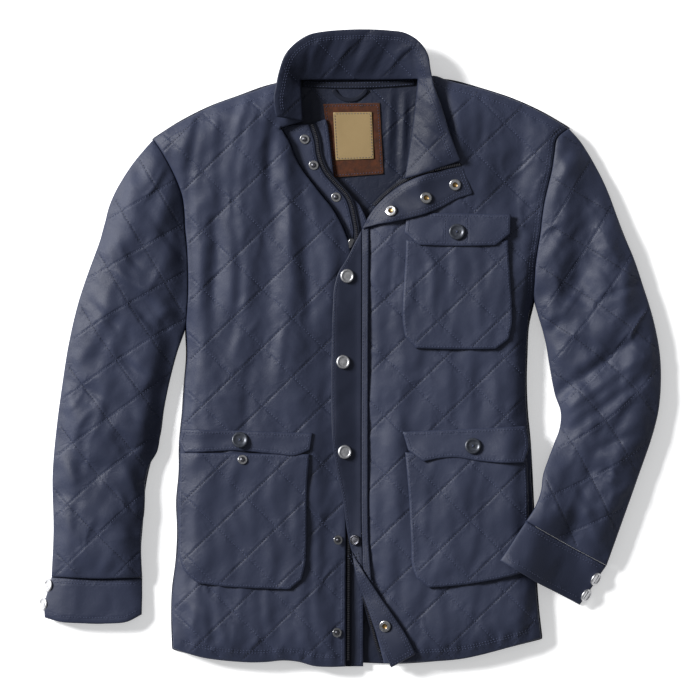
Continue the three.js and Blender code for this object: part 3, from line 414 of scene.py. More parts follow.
class Cloth:
    """One layer of cloth: its outline, its heights and its sewn lines. Its lengths are in millimetres.

    drop is how far the edge rolls down within edge. uneven is the height of the waves, whose sizes
    along X and Y are in waves. spare moves the outline out, and right_edge cuts it off at a line.
    """

    def __init__(self, node, quilt=None, spacing=4.5, blur=6.5, edge=2.2, drop=1.3, creases=(), sewn=(),
                 across=(), uneven=0.5, waves=(60, 60), corner=50, groove=None, spare=0,
                 wrinkles=0.0, right_edge=None, sewn_down=()):
        sizes = bpy.context.scene.jacket_cloth
        points, upper, lower = solid_sides(node)
        self.node, self.quilt = node, quilt
        self.uneven, self.wrinkles = uneven * MM, wrinkles * MM
        self.waves = [wave * MM for wave in waves]
        self.seed = sum(node.encode())
        self.top = Relief(points, upper, blur * MM)
        self.underside = Relief(points, lower, 2 * MM)
        outline = fine_outline(rim_of(points, upper), math.radians(corner))
        if right_edge:
            outline = kept_left(outline, place(right_edge))
        self.outline = beside(outline, -spare * MM, closed=True) if spare else outline
        self.rim = Line(closed(self.outline))
        self.sewn_down = Line(place(sewn_down)) if sewn_down else None
        self.edge, self.drop, self.spacing = edge * MM, drop * MM, spacing * MM
        self.groove = sizes.groove if groove is None else groove * MM
        self.creases = [(Line(place([(c.x1, c.y1), (c.x2, c.y2)])), c.width * MM, c.rise * MM)
                        for c in map(Crease._make, creases)]
        self.lines = [Line(self.sewn_line(*Sewn._make(row))) for row in sewn]
        self.lines += [Line(resampled(place([row[:2], row[2:]]), 2 * MM)) for row in across]

    def rim_distance(self, points):
        return np.array([self.rim.tree.find((x, y, 0))[2] for x, y in points])

    def sewn_line(self, inset, start, end):
        """A line that distance inside the outline, all round or between two places the shorter way."""
        ring = self.rim.fine[:-1]
        count = len(ring)
        first, ahead = 0, count
        if start:
            first, last = (self.rim.nearest(place(spot)[0]) for spot in (start, end))
            ahead = (last - first) % count
            if ahead > count - ahead:
                first, ahead = last, count - ahead
        stretch = ring[(first + np.arange(ahead + 1)) % count]
        line = beside(resampled(stretch, 3 * MM), inset * MM)
        return resampled(line[self.rim_distance(line) > 0.85 * inset * MM], 2 * MM)

    def seam_depth(self, points):
        """How deep the sewing pulls the cloth in, from 0 to 1."""
        width = bpy.context.scene.jacket_cloth.groove_width
        depth = np.zeros(len(points))
        if self.quilt is not None:
            depth = np.exp(-((seam_distance(self.quilt, points) / width) ** 2))
        for line in self.lines:
            depth = np.maximum(depth, 0.6 * np.exp(-((line.gap(points) / (0.6 * width)) ** 2)))
        return depth

    def height(self, points, away=None):
        away = self.rim_distance(points) if away is None else away
        fade = np.clip(away / FADE, 0.15, 1)
        height = self.top.at(points) + fade * self.uneven * soft_noise(points, *self.waves, self.seed)
        height += RIPPLE_SHARE * fade * self.uneven * soft_noise(points, RIPPLE, RIPPLE, self.seed + 50)
        if self.wrinkles:
            height += fade * self.wrinkles * self.wrinkled(points)
        for line, width, rise in self.creases:
            start, finish = (np.hypot(*(points - line.points[k]).T) for k in (0, -1))
            share = start / np.maximum(start + finish, 1e-9)
            gap = line.gap(points, 3 * width)
            height += rise * np.exp(-((gap / width) ** 2)) * np.sin(math.pi * share) ** 0.5
        height -= self.groove * self.seam_depth(points)
        roll = np.clip(1 - away / self.edge, 0, 1)
        return height - self.drop * (1 - np.sqrt(1 - roll ** 2))

    def wrinkled(self, points):
        """Narrow uneven ridges that come and go over the cloth, from 0 to 1."""
        ridge = np.exp(-((soft_noise(points, 55 * MM, 70 * MM, self.seed + 80) / 0.3) ** 2))
        return ridge * np.clip(0.3 + soft_noise(points, 120 * MM, 120 * MM, self.seed + 90), 0, 1)

    def pull(self, points):
        """How near each point is to sewing, from 0 to 1, for the puckers in the finish."""
        near = np.zeros(len(points))
        if self.quilt is not None:
            near = np.exp(-seam_distance(self.quilt, points) / QUILT_PULL)
        for line in self.lines:
            near = np.maximum(near, np.exp(-line.gap(points) / SEWN_PULL))
        return near

    def grid(self, spacing):
        low, high = self.outline.min(0), self.outline.max(0)
        x, y = (np.arange(low[k], high[k], spacing) for k in (0, 1))
        return np.stack(np.meshgrid(x, y, indexing="ij"), axis=-1).reshape(-1, 2)

    def inner_points(self):
        points = self.grid(self.spacing) if self.quilt is None else quilt_points(self.quilt, self.outline)
        points = points[self.top.covers(points)]
        if self.lines:
            rows = np.concatenate([beside(line.points, side * MM) for line in self.lines
                                   for side in (-1.6, 0, 1.6)])
            gap = np.min([line.gap(points) for line in self.lines], axis=0)
            points = np.concatenate([points[gap > 2.6 * MM], rows[self.top.covers(rows)]])
        points = points[self.rim_distance(points) > self.edge + 1 * MM]
        rings = [self.edge_ring(share * self.edge) for share in (0.12, 0.4, 0.95)]
        return thinned(np.concatenate([*rings, points]), 0.5 * MM)

    def edge_ring(self, inset):
        """The outline moved in, without the stretches where it would cross itself."""
        ring = beside(self.outline, inset, closed=True)
        return ring[self.rim_distance(ring) > 0.8 * inset]

    def shell(self):
        """The layer's points, its faces, where sewing pulls at it, and how many faces look up."""
        count = len(self.outline)
        upper = np.concatenate([self.outline, self.inner_points()])
        faces = triangulated(upper, count)
        top_count = len(faces)
        away = self.rim_distance(upper)
        away[:count] = 0
        heights = self.height(upper, away)
        plain = self.grid(UNDER_STEP)
        plain = plain[self.underside.covers(plain)]
        lower = np.concatenate([self.outline, plain[self.rim_distance(plain) > 5 * MM]])
        depths = np.minimum(self.underside.at(lower), self.height(lower) - LEAST_WALL)
        depths[:count] = np.minimum(depths[:count], heights[:count] - LEAST_EDGE)
        if self.sewn_down:
            depths[:count][self.sewn_down.gap(self.outline) < 2.5 * MM] = SEWN_DOWN_TO
        shift = len(upper)
        faces += [[shift + i for i in reversed(face)] for face in triangulated(lower, count)]
        ahead = np.roll(np.arange(count), -1)
        faces += [[int(i), int(shift + i), int(shift + j), int(j)] for i, j in zip(range(count), ahead)]
        points = np.concatenate([np.column_stack([upper, heights]), np.column_stack([lower, depths])])
        return points, faces, np.concatenate([self.pull(upper), np.zeros(len(lower))]), top_count

    def stitch_ends(self):
        """Pairs of points between which each stitch of the layer runs, and which thread each has. One set of
        quilting seams takes the dark thread, painted shade, and the other the light thread, partly painted
        light.
        """
        pitch = bpy.context.scene.jacket_trim.stitch_length
        pairs = [np.stack([line[:-1], line[1:]], axis=1)
                 for line in (resampled(line.points, pitch) for line in self.lines)]
        threads = [np.zeros(len(pair), int) for pair in pairs]
        if self.quilt is not None:
            quilting = self.quilt_stitches(pitch / DIAMOND_SIDE)
            pairs += quilting
            # One set of quilting seams gets the dark thread as painted shade, the other the light thread as
            # painted light.
            threads += [np.full(len(pair), thread) for thread, pair in zip((1, 0), quilting)]
        flat = np.concatenate(pairs)
        heights = self.height(flat.reshape(-1, 2)).reshape(-1, 2, 1)
        return np.concatenate([flat, heights], axis=2), np.concatenate(threads)

    def quilt_stitches(self, step):
        """The ends of the stitches along either set of quilting seams."""
        values = self.quilt.from_plan(self.outline)
        spans = [(math.floor(v.min()), math.ceil(v.max())) for v in values]
        pairs = []
        for along in (0, 1):
            seams = np.arange(spans[1 - along][0], spans[1 - along][1] + 1)
            runs = np.arange(*spans[along], step)
            seam, run = (grid.ravel() for grid in np.meshgrid(seams, runs, indexing="ij"))
            start, centre, end = (((run + shift, seam) if along == 0 else (seam, run + shift))
                                  for shift in (0, step / 2, step))
            middle, true = true_points(self.quilt, *centre)
            inside = self.top.covers(middle)
            inside[inside] = self.rim_distance(middle[inside]) > 4.5 * MM
            ends = [self.quilt.to_plan(*spot)[true][inside] for spot in (start, end)]
            pairs.append(np.stack(ends, axis=1))
        return pairs


def thinned(points, least):
    """The points without those that lie closer than the least distance to an earlier one."""
    tree = tree_of(points)
    kept = np.ones(len(points), bool)
    for i, (x, y) in enumerate(points):
        if kept[i]:
            for _, j, _ in tree.find_range((x, y, 0), least):
                if j > i:
                    kept[j] = False
    return points[kept]


def new_piece(name, points, faces, *finishes):
    """A smooth mesh piece that rides on the jacket."""
    mesh = bpy.data.meshes.new(name)
    mesh.from_pydata(np.asarray(points).tolist(), [], faces)
    mesh.update()
    mesh.shade_smooth()
    for finish in finishes:
        mesh.materials.append(finish)
    piece = bpy.data.objects.new(name, mesh)
    bpy.context.scene.collection.objects.link(piece)
    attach(piece, "root")
    return piece


# A stitch is a thin spindle. These are its half length in its pitch, its lift and its half height.
STITCH_SHARE = 0.33
STITCH_LIFT = 0.3
STITCH_HEIGHT = 0.7
SPINDLE = ((0, 1, 4), (1, 2, 4), (2, 3, 4), (3, 0, 4), (1, 0, 5), (2, 1, 5), (3, 2, 5), (0, 3, 5))


def sewing(name, ends, threads):
    """One piece that holds the stitches between all the pairs of points, in a light thread, partly painted
    light, or in a dark thread, painted shade.
    """
    thread = bpy.context.scene.jacket_trim.thread_width
    a, b = ends[:, 0], ends[:, 1]
    middle, half = (a + b) / 2 + [0, 0, STITCH_LIFT * thread], (b - a) * STITCH_SHARE
    side = np.cross(half, [0, 0, 1])
    side *= thread / 2 / np.maximum(np.linalg.norm(side, axis=1), 1e-9)[:, None]
    up = np.array([0, 0, thread * STITCH_HEIGHT])
    corners = [middle - half, middle + side, middle + half, middle - side, middle + up, middle - up]
    sides = np.array(SPINDLE)
    faces = (np.arange(len(a))[:, None, None] * len(corners) + sides).reshape(-1, 3)
    piece = new_piece(name, np.stack(corners, axis=1).reshape(-1, 3), faces.tolist(), FINISHES["thread"],
                      FINISHES["dark thread"])
    piece.data.polygons.foreach_set("material_index", np.repeat(threads, len(sides)))
    return piece


def joined(layers):
    """The points, faces, pulls and looks of the layers as those of one mesh."""
    points, faces, pulls, looks = [], [], [], []
    total = 0
    for layer in layers:
        own, own_faces, pull, top_count = layer.shell()
        faces += [[i + total for i in face] for face in own_faces]
        looks += [0] * top_count + [1] * (len(own_faces) - top_count)
        points.append(own)
        pulls.append(pull)
        total += len(own)
    return np.concatenate(points), faces, np.concatenate(pulls).astype(np.float32), looks


def lay(name, layers, finish, below=None):
    """Lays one piece made of one layer, or of the two layers of a tube, with its stitches."""
    points, faces, pull, looks = joined(layers)
    finishes = [finish, below] if below else [finish]
    piece = new_piece(f"{name}_cloth", points, faces, *finishes)
    if below:
        piece.data.polygons.foreach_set("material_index", looks)
    piece.data.attributes.new("pull", "FLOAT", "POINT").data.foreach_set("value", pull)
    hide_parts(*(layer.node for layer in layers))
    sewn = [layer.stitch_ends() for layer in layers if layer.lines or layer.quilt is not None]
    if sewn:
        ends, threads = (np.concatenate(values) for values in zip(*sewn))
        sewing(f"{name}_stitches", ends, threads)


# Finishes

FINISHES = {}


def effect(name, inputs, outputs):
    """An empty node group with named sockets. Inputs are name: default value."""
    tree = bpy.data.node_groups.new(name, "ShaderNodeTree")
    for label, value in inputs.items():
        kind = "NodeSocketColor" if isinstance(value, tuple) else "NodeSocketFloat"
        socket = tree.interface.new_socket(name=label, in_out="INPUT", socket_type=kind)
        socket.default_value = value
    for label, kind in outputs.items():
        tree.interface.new_socket(name=label, in_out="OUTPUT", socket_type=kind)
    return tree, tree.nodes.new("NodeGroupInput"), tree.nodes.new("NodeGroupOutput")


def node_in(tree, kind, **settings):
    node = tree.nodes.new(kind)
    for key, value in settings.items():
        setattr(node, key, value)
    return node


def place_noise(tree, detail=2, roughness=0.5):
    """Noise fixed to the object's own coordinates."""
    where = tree.nodes.new("ShaderNodeTexCoord")
    noise = tree.nodes.new("ShaderNodeTexNoise")
    noise.inputs["Detail"].default_value = detail
    noise.inputs["Roughness"].default_value = roughness
    tree.links.new(where.outputs["Object"], noise.inputs["Vector"])
    return noise


def stretch(tree, value, low, high, to_low=0.0, to_high=1.0):
    """The value moved from one range to another, and kept inside it."""
    node = node_in(tree, "ShaderNodeMapRange", clamp=True)
    tree.links.new(value, node.inputs["Value"])
    for label, number in (("From Min", low), ("From Max", high), ("To Min", to_low), ("To Max", to_high)):
        if isinstance(number, (int, float)):
            node.inputs[label].default_value = number
        else:
            tree.links.new(number, node.inputs[label])
    return node.outputs["Result"]


def patchy_effect():
    """Soft patches of two colours, and of two roughnesses."""
    tree, given, result = effect(
        "Patchy cloth",
        {"Scale": 9.0, "First": (0.03, 0.04, 0.07, 1), "Second": (0.04, 0.05, 0.09, 1),
         "Smooth": 0.5, "Rough": 0.6},
        {"Color": "NodeSocketColor", "Roughness": "NodeSocketFloat"})
    noise = place_noise(tree, 4)
    tree.links.new(given.outputs["Scale"], noise.inputs["Scale"])
    share = stretch(tree, noise.outputs["Fac"], 0.32, 0.68)
    mix = node_in(tree, "ShaderNodeMix", data_type="RGBA")
    tree.links.new(share, mix.inputs["Factor"])
    tree.links.new(given.outputs["First"], mix.inputs[6])
    tree.links.new(given.outputs["Second"], mix.inputs[7])
    tree.links.new(mix.outputs[2], result.inputs["Color"])
    rough = stretch(tree, noise.outputs["Fac"], 0.32, 0.68, given.outputs["Smooth"], given.outputs["Rough"])
    tree.links.new(rough, result.inputs["Roughness"])
    return tree


def weave_effect():
    """The crossing threads of a woven cloth, as a height."""
    tree, given, result = effect("Woven threads", {"Threads": 1200.0}, {"Height": "NodeSocketFloat"})
    where = tree.nodes.new("ShaderNodeTexCoord")
    heights = []
    for direction in ("X", "Y"):
        wave = node_in(tree, "ShaderNodeTexWave", bands_direction=direction)
        wave.inputs["Distortion"].default_value = 1.2
        wave.inputs["Detail"].default_value = 1
        tree.links.new(where.outputs["Object"], wave.inputs["Vector"])
        tree.links.new(given.outputs["Threads"], wave.inputs["Scale"])
        heights.append(wave.outputs["Fac"])
    total = node_in(tree, "ShaderNodeMath", operation="MAXIMUM")
    tree.links.new(heights[0], total.inputs[0])
    tree.links.new(heights[1], total.inputs[1])
    tree.links.new(total.outputs[0], result.inputs["Height"])
    return tree


def pucker_effect():
    """Small uneven wrinkles that gather where sewing pulls at the cloth, as a height."""
    tree, given, result = effect("Puckers", {"Pull": 1.0, "Scale": 120.0, "Everywhere": 0.15},
                                 {"Height": "NodeSocketFloat"})
    noise = place_noise(tree, 3, 0.55)
    noise.inputs["Distortion"].default_value = 0.6
    tree.links.new(given.outputs["Scale"], noise.inputs["Scale"])
    share = node_in(tree, "ShaderNodeMath", operation="MAXIMUM")
    tree.links.new(given.outputs["Pull"], share.inputs[0])
    tree.links.new(given.outputs["Everywhere"], share.inputs[1])
    height = node_in(tree, "ShaderNodeMath", operation="MULTIPLY")
    tree.links.new(noise.outputs["Fac"], height.inputs[0])
    tree.links.new(share.outputs[0], height.inputs[1])
    tree.links.new(height.outputs[0], result.inputs["Height"])
    return tree


def new_finish(name, roughness=0.5, metallic=0.0, **others):
    """A material with its shader's own values, and the shader."""
    finish = bpy.data.materials.new(name)
    finish.use_nodes = True
    shader = finish.node_tree.nodes["Principled BSDF"]
    shader.inputs["Roughness"].default_value = roughness
    shader.inputs["Metallic"].default_value = metallic
    for label, value in others.items():
        shader.inputs[label.replace("_", " ")].default_value = value
    FINISHES[name] = finish
    return finish, shader


def use_effect(finish, tree, **values):
    node = finish.node_tree.nodes.new("ShaderNodeGroup")
    node.node_tree = tree
    for label, value in values.items():
        node.inputs[label].default_value = value
    return node


def bump_from(finish, height, distance, onto=None):
    """A bump of that height, on top of an earlier one."""
    bump = finish.node_tree.nodes.new("ShaderNodeBump")
    bump.inputs["Strength"].default_value = 1
    bump.inputs["Distance"].default_value = distance
    finish.node_tree.links.new(height, bump.inputs["Height"])
    if onto:
        finish.node_tree.links.new(onto, bump.inputs["Normal"])
    return bump.outputs["Normal"]


# What a finish is made of: two colours and two roughnesses that it changes between in patches, the
# scale of its threads or patches, and the depth of its puckers or of its unevenness.
ClothLook = namedtuple("ClothLook", "name first second smooth rough threads puckers everywhere gloss")
HardLook = namedtuple("HardLook", "name first second smooth rough scale bump")
WEAVE_DEPTH = 0.00003


def patches_of(finish, shader, look, effects, **sizes):
    """Lays the look's soft patches of colour and roughness on the shader."""
    patches = use_effect(finish, effects["patchy"], First=(*look.first, 1), Second=(*look.second, 1),
                         Smooth=look.smooth, Rough=look.rough, **sizes)
    finish.node_tree.links.new(patches.outputs["Color"], shader.inputs["Base Color"])
    finish.node_tree.links.new(patches.outputs["Roughness"], shader.inputs["Roughness"])


def cloth_finish(look, effects, **shader_values):
    """Woven cloth with soft patches, puckers beside its sewing and a fine weave."""
    finish, shader = new_finish(look.name, Specular_IOR_Level=look.gloss, **shader_values)
    links = finish.node_tree.links
    patches_of(finish, shader, look, effects)
    pull = node_in(finish.node_tree, "ShaderNodeAttribute", attribute_name="pull")
    wrinkled = use_effect(finish, effects["pucker"], Everywhere=look.everywhere)
    links.new(pull.outputs["Fac"], wrinkled.inputs["Pull"])
    woven = use_effect(finish, effects["weave"], Threads=look.threads)
    normal = bump_from(finish, wrinkled.outputs["Height"], look.puckers)
    normal = bump_from(finish, woven.outputs["Height"], WEAVE_DEPTH, normal)
    links.new(normal, shader.inputs["Normal"])


def patchy_finish(look, effects, **shader_values):
    """A finish with patches of its own size and a matching unevenness."""
    finish, shader = new_finish(look.name, **shader_values)
    patches_of(finish, shader, look, effects, Scale=look.scale)
    uneven = use_effect(finish, effects["pucker"], Scale=look.scale * 3, Everywhere=1.0)
    normal = bump_from(finish, uneven.outputs["Height"], look.bump)
    finish.node_tree.links.new(normal, shader.inputs["Normal"])


def mixed(colour, share):
    """A colour made lighter or darker."""
    return tuple(channel * share for channel in colour)


# Sizes and colours that a user may change


class JacketCloth(bpy.types.PropertyGroup):
    groove: FloatProperty(name="Seam depth", description="How deep the quilting seams sink in",
                          default=0.75 * MM, min=0, max=3 * MM, unit="LENGTH")
    groove_width: FloatProperty(name="Seam width", description="Half width of the hollow along a seam",
                                default=1.4 * MM, min=1 * MM, max=8 * MM, unit="LENGTH")
    shell_colour: FloatVectorProperty(name="Shell", description="Colour of the outer cloth", size=3,
                                      default=(0.0215, 0.0265, 0.0500), min=0, max=1, subtype="COLOR")
    lining_colour: FloatVectorProperty(name="Lining", description="Colour of the lining", size=3,
                                       default=(0.0115, 0.0145, 0.0280), min=0, max=1, subtype="COLOR")


class JacketTrim(bpy.types.PropertyGroup):
    stitch_length: FloatProperty(name="Stitch length", description="Length of one stitch with its gap",
                                 default=4.0 * MM, min=2 * MM, max=8 * MM, unit="LENGTH")
    thread_width: FloatProperty(name="Thread", description="Thickness of the sewing thread",
                                default=1.0 * MM, min=0.2 * MM, max=1.5 * MM, unit="LENGTH")
    tooth_pitch: FloatProperty(name="Tooth pitch", description="Distance between the teeth of the zip",
                               default=2.4 * MM, min=1 * MM, max=5 * MM, unit="LENGTH")
    leather_colour: FloatVectorProperty(name="Leather", description="Colour of the suede patch", size=3,
                                        default=(0.048, 0.0135, 0.0045), min=0, max=1, subtype="COLOR")
    label_colour: FloatVectorProperty(name="Label", description="Colour of the woven label", size=3,
                                      default=(0.235, 0.165, 0.075), min=0, max=1, subtype="COLOR")
    metal_colour: FloatVectorProperty(name="Metal", description="Colour of the snaps", size=3,
                                      default=(0.36, 0.36, 0.37), min=0, max=1, subtype="COLOR")
    button_colour: FloatVectorProperty(name="Button", description="Colour of the flap buttons", size=3,
                                       default=(0.03, 0.034, 0.045), min=0, max=1, subtype="COLOR")


class JacketStage(bpy.types.PropertyGroup):
    key_power: FloatProperty(name="Key light", description="Power of the large light at the upper left",
                             default=2950, min=0, max=9000, unit="POWER")
    fill_power: FloatProperty(name="Fill light", description="Power of the soft light overhead",
                              default=4, min=0, max=500, unit="POWER")
    room: FloatProperty(name="Room", description="Brightness of the pale room around the jacket",
                        default=0.22, min=0, max=3)
    floor_glow: FloatProperty(name="Floor glow", description="How much the pale floor shines by itself",
                              default=0.4, min=0, max=2)


# Pieces


class JACKET_OT_finishes(bpy.types.Operator):
    """The finishes of the cloth, the leather, the label, the metal, the buttons and the thread"""
    bl_idname = "jacket.finishes"
    bl_label = "Finishes"

    def execute(self, context):
        cloth, trim = context.scene.jacket_cloth, context.scene.jacket_trim
        effects = {"patchy": patchy_effect(), "weave": weave_effect(), "pucker": pucker_effect()}
        shell, lining = tuple(cloth.shell_colour), tuple(cloth.lining_colour)
        label, leather = tuple(trim.label_colour), tuple(trim.leather_colour)
        metal, button = tuple(trim.metal_colour), tuple(trim.button_colour)
        sheen = {"Sheen_Weight": 0.03, "Sheen_Roughness": 0.4, "Sheen_Tint": (0.55, 0.62, 0.9, 1)}
        cloths = [
            ("shell", mixed(shell, 0.92), mixed(shell, 1.1), 0.46, 0.54, 1300.0, 0.0014, 0.15, 0.22),
            # The collar's finish is the shell cloth made darker: painted shade where its wing faces the
            # light.
            ("inner collar", mixed(shell, 0.55), mixed(shell, 0.75), 0.42, 0.5, 1300.0, 0.0012, 0.35, 0.16),
            # The storm flap's finish is the shell cloth made darker: painted shade, not a different cloth.
            ("storm flap", mixed(shell, 0.66), mixed(shell, 0.78), 0.46, 0.54, 1300.0, 0.0007, 0.15, 0.2),
            ("lining", mixed(lining, 0.9), mixed(lining, 1.15), 0.42, 0.5, 1500.0, 0.0012, 0.5, 0.18),
            ("tape", mixed(lining, 0.5), mixed(lining, 0.7), 0.6, 0.7, 700.0, 0.0002, 0.15, 0.15),
            ("label", mixed(label, 0.93), mixed(label, 1.05), 0.55, 0.7, 600.0, 0.0001, 0.15, 0.3),
        ]
        for look in map(ClothLook._make, cloths):
            cloth_finish(look, effects, **(sheen if look.name == "shell" else {}))
        look = HardLook("leather", mixed(leather, 0.6), mixed(leather, 1.35), 0.8, 0.95, 130.0, 0.0006)
        patchy_finish(look, effects, Specular_IOR_Level=0.2, Sheen_Weight=0.2)
        metals = [
            ("snap metal", mixed(metal, 0.8), metal, 0.24, 0.38, 400.0, 0.00005),
            ("cap metal", mixed(metal, 1.25), mixed(metal, 1.7), 0.4, 0.55, 400.0, 0.00008),
            ("brass", (0.16, 0.1, 0.04), (0.3, 0.2, 0.08), 0.3, 0.45, 400.0, 0.00005),
            ("zip metal", (0.07, 0.07, 0.08), (0.16, 0.16, 0.18), 0.3, 0.42, 700.0, 0.00002),
        ]
        for look in map(HardLook._make, metals):
            patchy_finish(look, effects, metallic=1.0)
        look = HardLook("button", mixed(button, 0.8), mixed(button, 1.3), 0.28, 0.42, 300.0, 0.00004)
        patchy_finish(look, effects, metallic=0.35)
        # Lit and shaded copies of one thread: the light one is lighter than the cloth, partly its own colour
        # and partly painted light; the dark one is painted shade.
        threads = [("thread", mixed(shell, 1.7), mixed(shell, 2.6), 0.5, 0.65, 900.0, 0.00003),
                   ("dark thread", mixed(shell, 0.3), mixed(shell, 0.5), 0.5, 0.65, 900.0, 0.00003)]
        for look in map(HardLook._make, threads):
            patchy_finish(look, effects, Specular_IOR_Level=0.4)
        return {"FINISHED"}


class JACKET_OT_back(bpy.types.Operator):
    """Back of the jacket, with the tape, loop, patch and label inside the neck"""
    bl_idname = "jacket.back"
    bl_label = "Back and neck"

    def execute(self, context):
        gathers = [(391, 88, 388, 172, 3, 1.4), (398, 86, 396, 176, 3.5, -1.5), (405, 92, 402, 170, 3, 1.6),
                   (411, 96, 409, 150, 3, -1.2), (312, 92, 316, 130, 4, 1.2), (320, 180, 340, 186, 5, 1.5)]
        back = Cloth("back", FlatQuilt((372, 205)), creases=gathers, uneven=0.6, spare=2.2)
        lay("back", [back], FINISHES["lining"], below=FINISHES["shell"])
        tape = Cloth("neck_tape", spacing=3, blur=2, edge=1, drop=0.5, sewn=[(1.6, *ALL_ROUND)], groove=0.3)
        lay("neck_tape", [tape], FINISHES["tape"])
        loop = Cloth("hanger_loop", spacing=2, blur=1.5, edge=1, drop=0.5, uneven=0.1)
        lay("hanger_loop", [loop], FINISHES["tape"])
        patch = Cloth("neck_patch", spacing=3, blur=2, edge=1.2, drop=0.6, uneven=0.7, groove=0.5,
                      sewn=[(3, *ALL_ROUND)])
        lay("neck_patch", [patch], FINISHES["leather"])
        label = Cloth("neck_label", spacing=3, blur=2, edge=0.8, drop=0.3, uneven=0.3, groove=0.3,
                      sewn=[(2, *ALL_ROUND)])
        lay("neck_label", [label], FINISHES["label"])
        return {"FINISHED"}


class JACKET_OT_fronts(bpy.types.Operator):
    """Both quilted fronts"""
    bl_idname = "jacket.fronts"
    bl_label = "Fronts"

    def execute(self, context):
        right = Cloth("right_front", FlatQuilt((202.5, 171.5)), drop=1.8, uneven=1.3, waves=(38, 170),
                      wrinkles=1.0, creases=[
            (302, 150, 310, 330, 11, -3.5), (268, 128, 268, 210, 9, -2.5), (218, 190, 212, 340, 9, -3.0),
            (331, 300, 330, 640, 15, -5.0), (286, 130, 290, 260, 9, 2.5), (236, 430, 250, 640, 16, 2.0),
            (281, 300, 276, 430, 9, 1.2), (246, 210, 240, 330, 8, -0.9), (322, 470, 326, 610, 7, -0.9),
            (212, 610, 218, 648, 8, -1.0), (262, 612, 258, 652, 9, 1.0), (196, 380, 190, 420, 6, 1.0),
            *gathers((178, 643), (344, 660), 20, 3),
        ], sewn=[(10.8, (296, 84), (158, 137)), (16, (345, 667), (174, 649)), (13, (345, 667), (174, 649)),
                 (5, (347, 560), (345.6, 664))])
        lay("right_front", [right], FINISHES["shell"])
        left = Cloth("left_front", FlatQuilt((385, 357.5)), drop=1.8, uneven=1.1, waves=(40, 160),
                     wrinkles=1.0, creases=[
            (395, 215, 389, 330, 6, -1.0), (520, 300, 516, 410, 7, 1.1), (380, 420, 386, 560, 7, -0.9),
            (440, 600, 444, 650, 8, 1.0), (505, 596, 500, 640, 8, -1.0), (456, 92, 464, 198, 14, 4.5),
            (519, 96, 523, 225, 24, -8.0), (484, 112, 480, 150, 6, -1.2), (538, 128, 531, 240, 13, -2.5),
            (400, 400, 396, 560, 12, 2.0), (540, 250, 534, 420, 12, -4.0), (480, 350, 484, 440, 14, -2.5),
            (376, 560, 400, 650, 14, -3.0), *gathers((386, 659), (540, 633), 19, 4),
        ], sewn=[(10.8, (420, 79), (560, 123)), (16, (384, 664), (541, 638)), (13, (384, 664), (541, 638)),
                 (6, (405, 181), (416, 100)), (4, (566, 131), (534, 298)), (8, (566, 131), (534, 298))])
        lay("left_front", [left], FINISHES["shell"])
        return {"FINISHED"}


class JACKET_OT_sleeves(bpy.types.Operator):
    """Both quilted sleeves, each a tube that lies flat"""
    bl_idname = "jacket.sleeves"
    bl_label = "Sleeves"

    def execute(self, context):
        right_middle = [(158, 190), (140, 260), (122, 330), (110, 400), (99, 480), (97, 577)]
        right = Cloth("right_sleeve_top", SleeveQuilt(right_middle), drop=1.8, uneven=1.5, waves=(46, 62),
                      wrinkles=1.8, creases=[
            (121, 246, 144, 271, 4, -2.2), (116, 236, 128, 262, 5, 1.6), (144, 298, 173, 337, 4, -2.4),
            (152, 292, 180, 326, 5, 1.6), (98, 318, 118, 338, 5, 1.6), (72, 396, 96, 404, 5, -1.4),
            (120, 452, 150, 444, 5, -1.4), (60, 500, 84, 508, 5, 1.2), (112, 540, 138, 536, 5, 1.2),
            (192, 145, 178, 335, 20, -9.0), (170, 330, 150, 480, 13, -6.0), (140, 170, 118, 300, 17, 3.0),
            (150, 215, 186, 262, 5, -3.0), (128, 300, 168, 340, 5, -3.0), (110, 268, 160, 300, 5, 2.5),
            (88, 300, 120, 330, 5, -2.2), (70, 380, 110, 402, 5, -2.0), (120, 360, 160, 386, 5, -2.6),
            (115, 420, 158, 430, 5, -2.0), (104, 380, 92, 470, 8, 1.6), (82, 440, 74, 560, 7, -1.3),
        ])
        under = Cloth("right_sleeve_under", spacing=12, edge=2)
        lay("right_sleeve", [right, under], FINISHES["shell"])
        left_middle = [(573, 190), (590, 260), (603, 330), (608, 390), (602, 440), (586, 492), (566, 544)]
        left = Cloth("left_sleeve_top", SleeveQuilt(left_middle), drop=1.8, uneven=1.5, waves=(48, 66),
                     wrinkles=1.8, creases=[
            (552, 400, 640, 335, 8, -5.5), (566, 432, 650, 374, 8, -5.0), (560, 414, 642, 356, 7, 4.0),
            (594, 150, 574, 335, 24, -10.0), (600, 300, 640, 282, 5, -2.2), (565, 300, 610, 322, 5, 2.0),
            (592, 452, 640, 432, 6, -3.0), (575, 480, 600, 522, 6, -2.4), (610, 220, 640, 260, 6, 2.0),
            (572, 374, 590, 388, 4, -1.6), (548, 330, 578, 318, 5, -1.4), (560, 250, 586, 262, 6, 1.3),
            (598, 470, 628, 476, 5, -1.4), (540, 500, 566, 512, 5, 1.3),
            (604, 420, 570, 540, 9, -1.8), (560, 440, 536, 520, 8, 1.5),
        ])
        under = Cloth("left_sleeve_under", spacing=12, edge=2)
        lay("left_sleeve", [left, under], FINISHES["shell"])
        return {"FINISHED"}


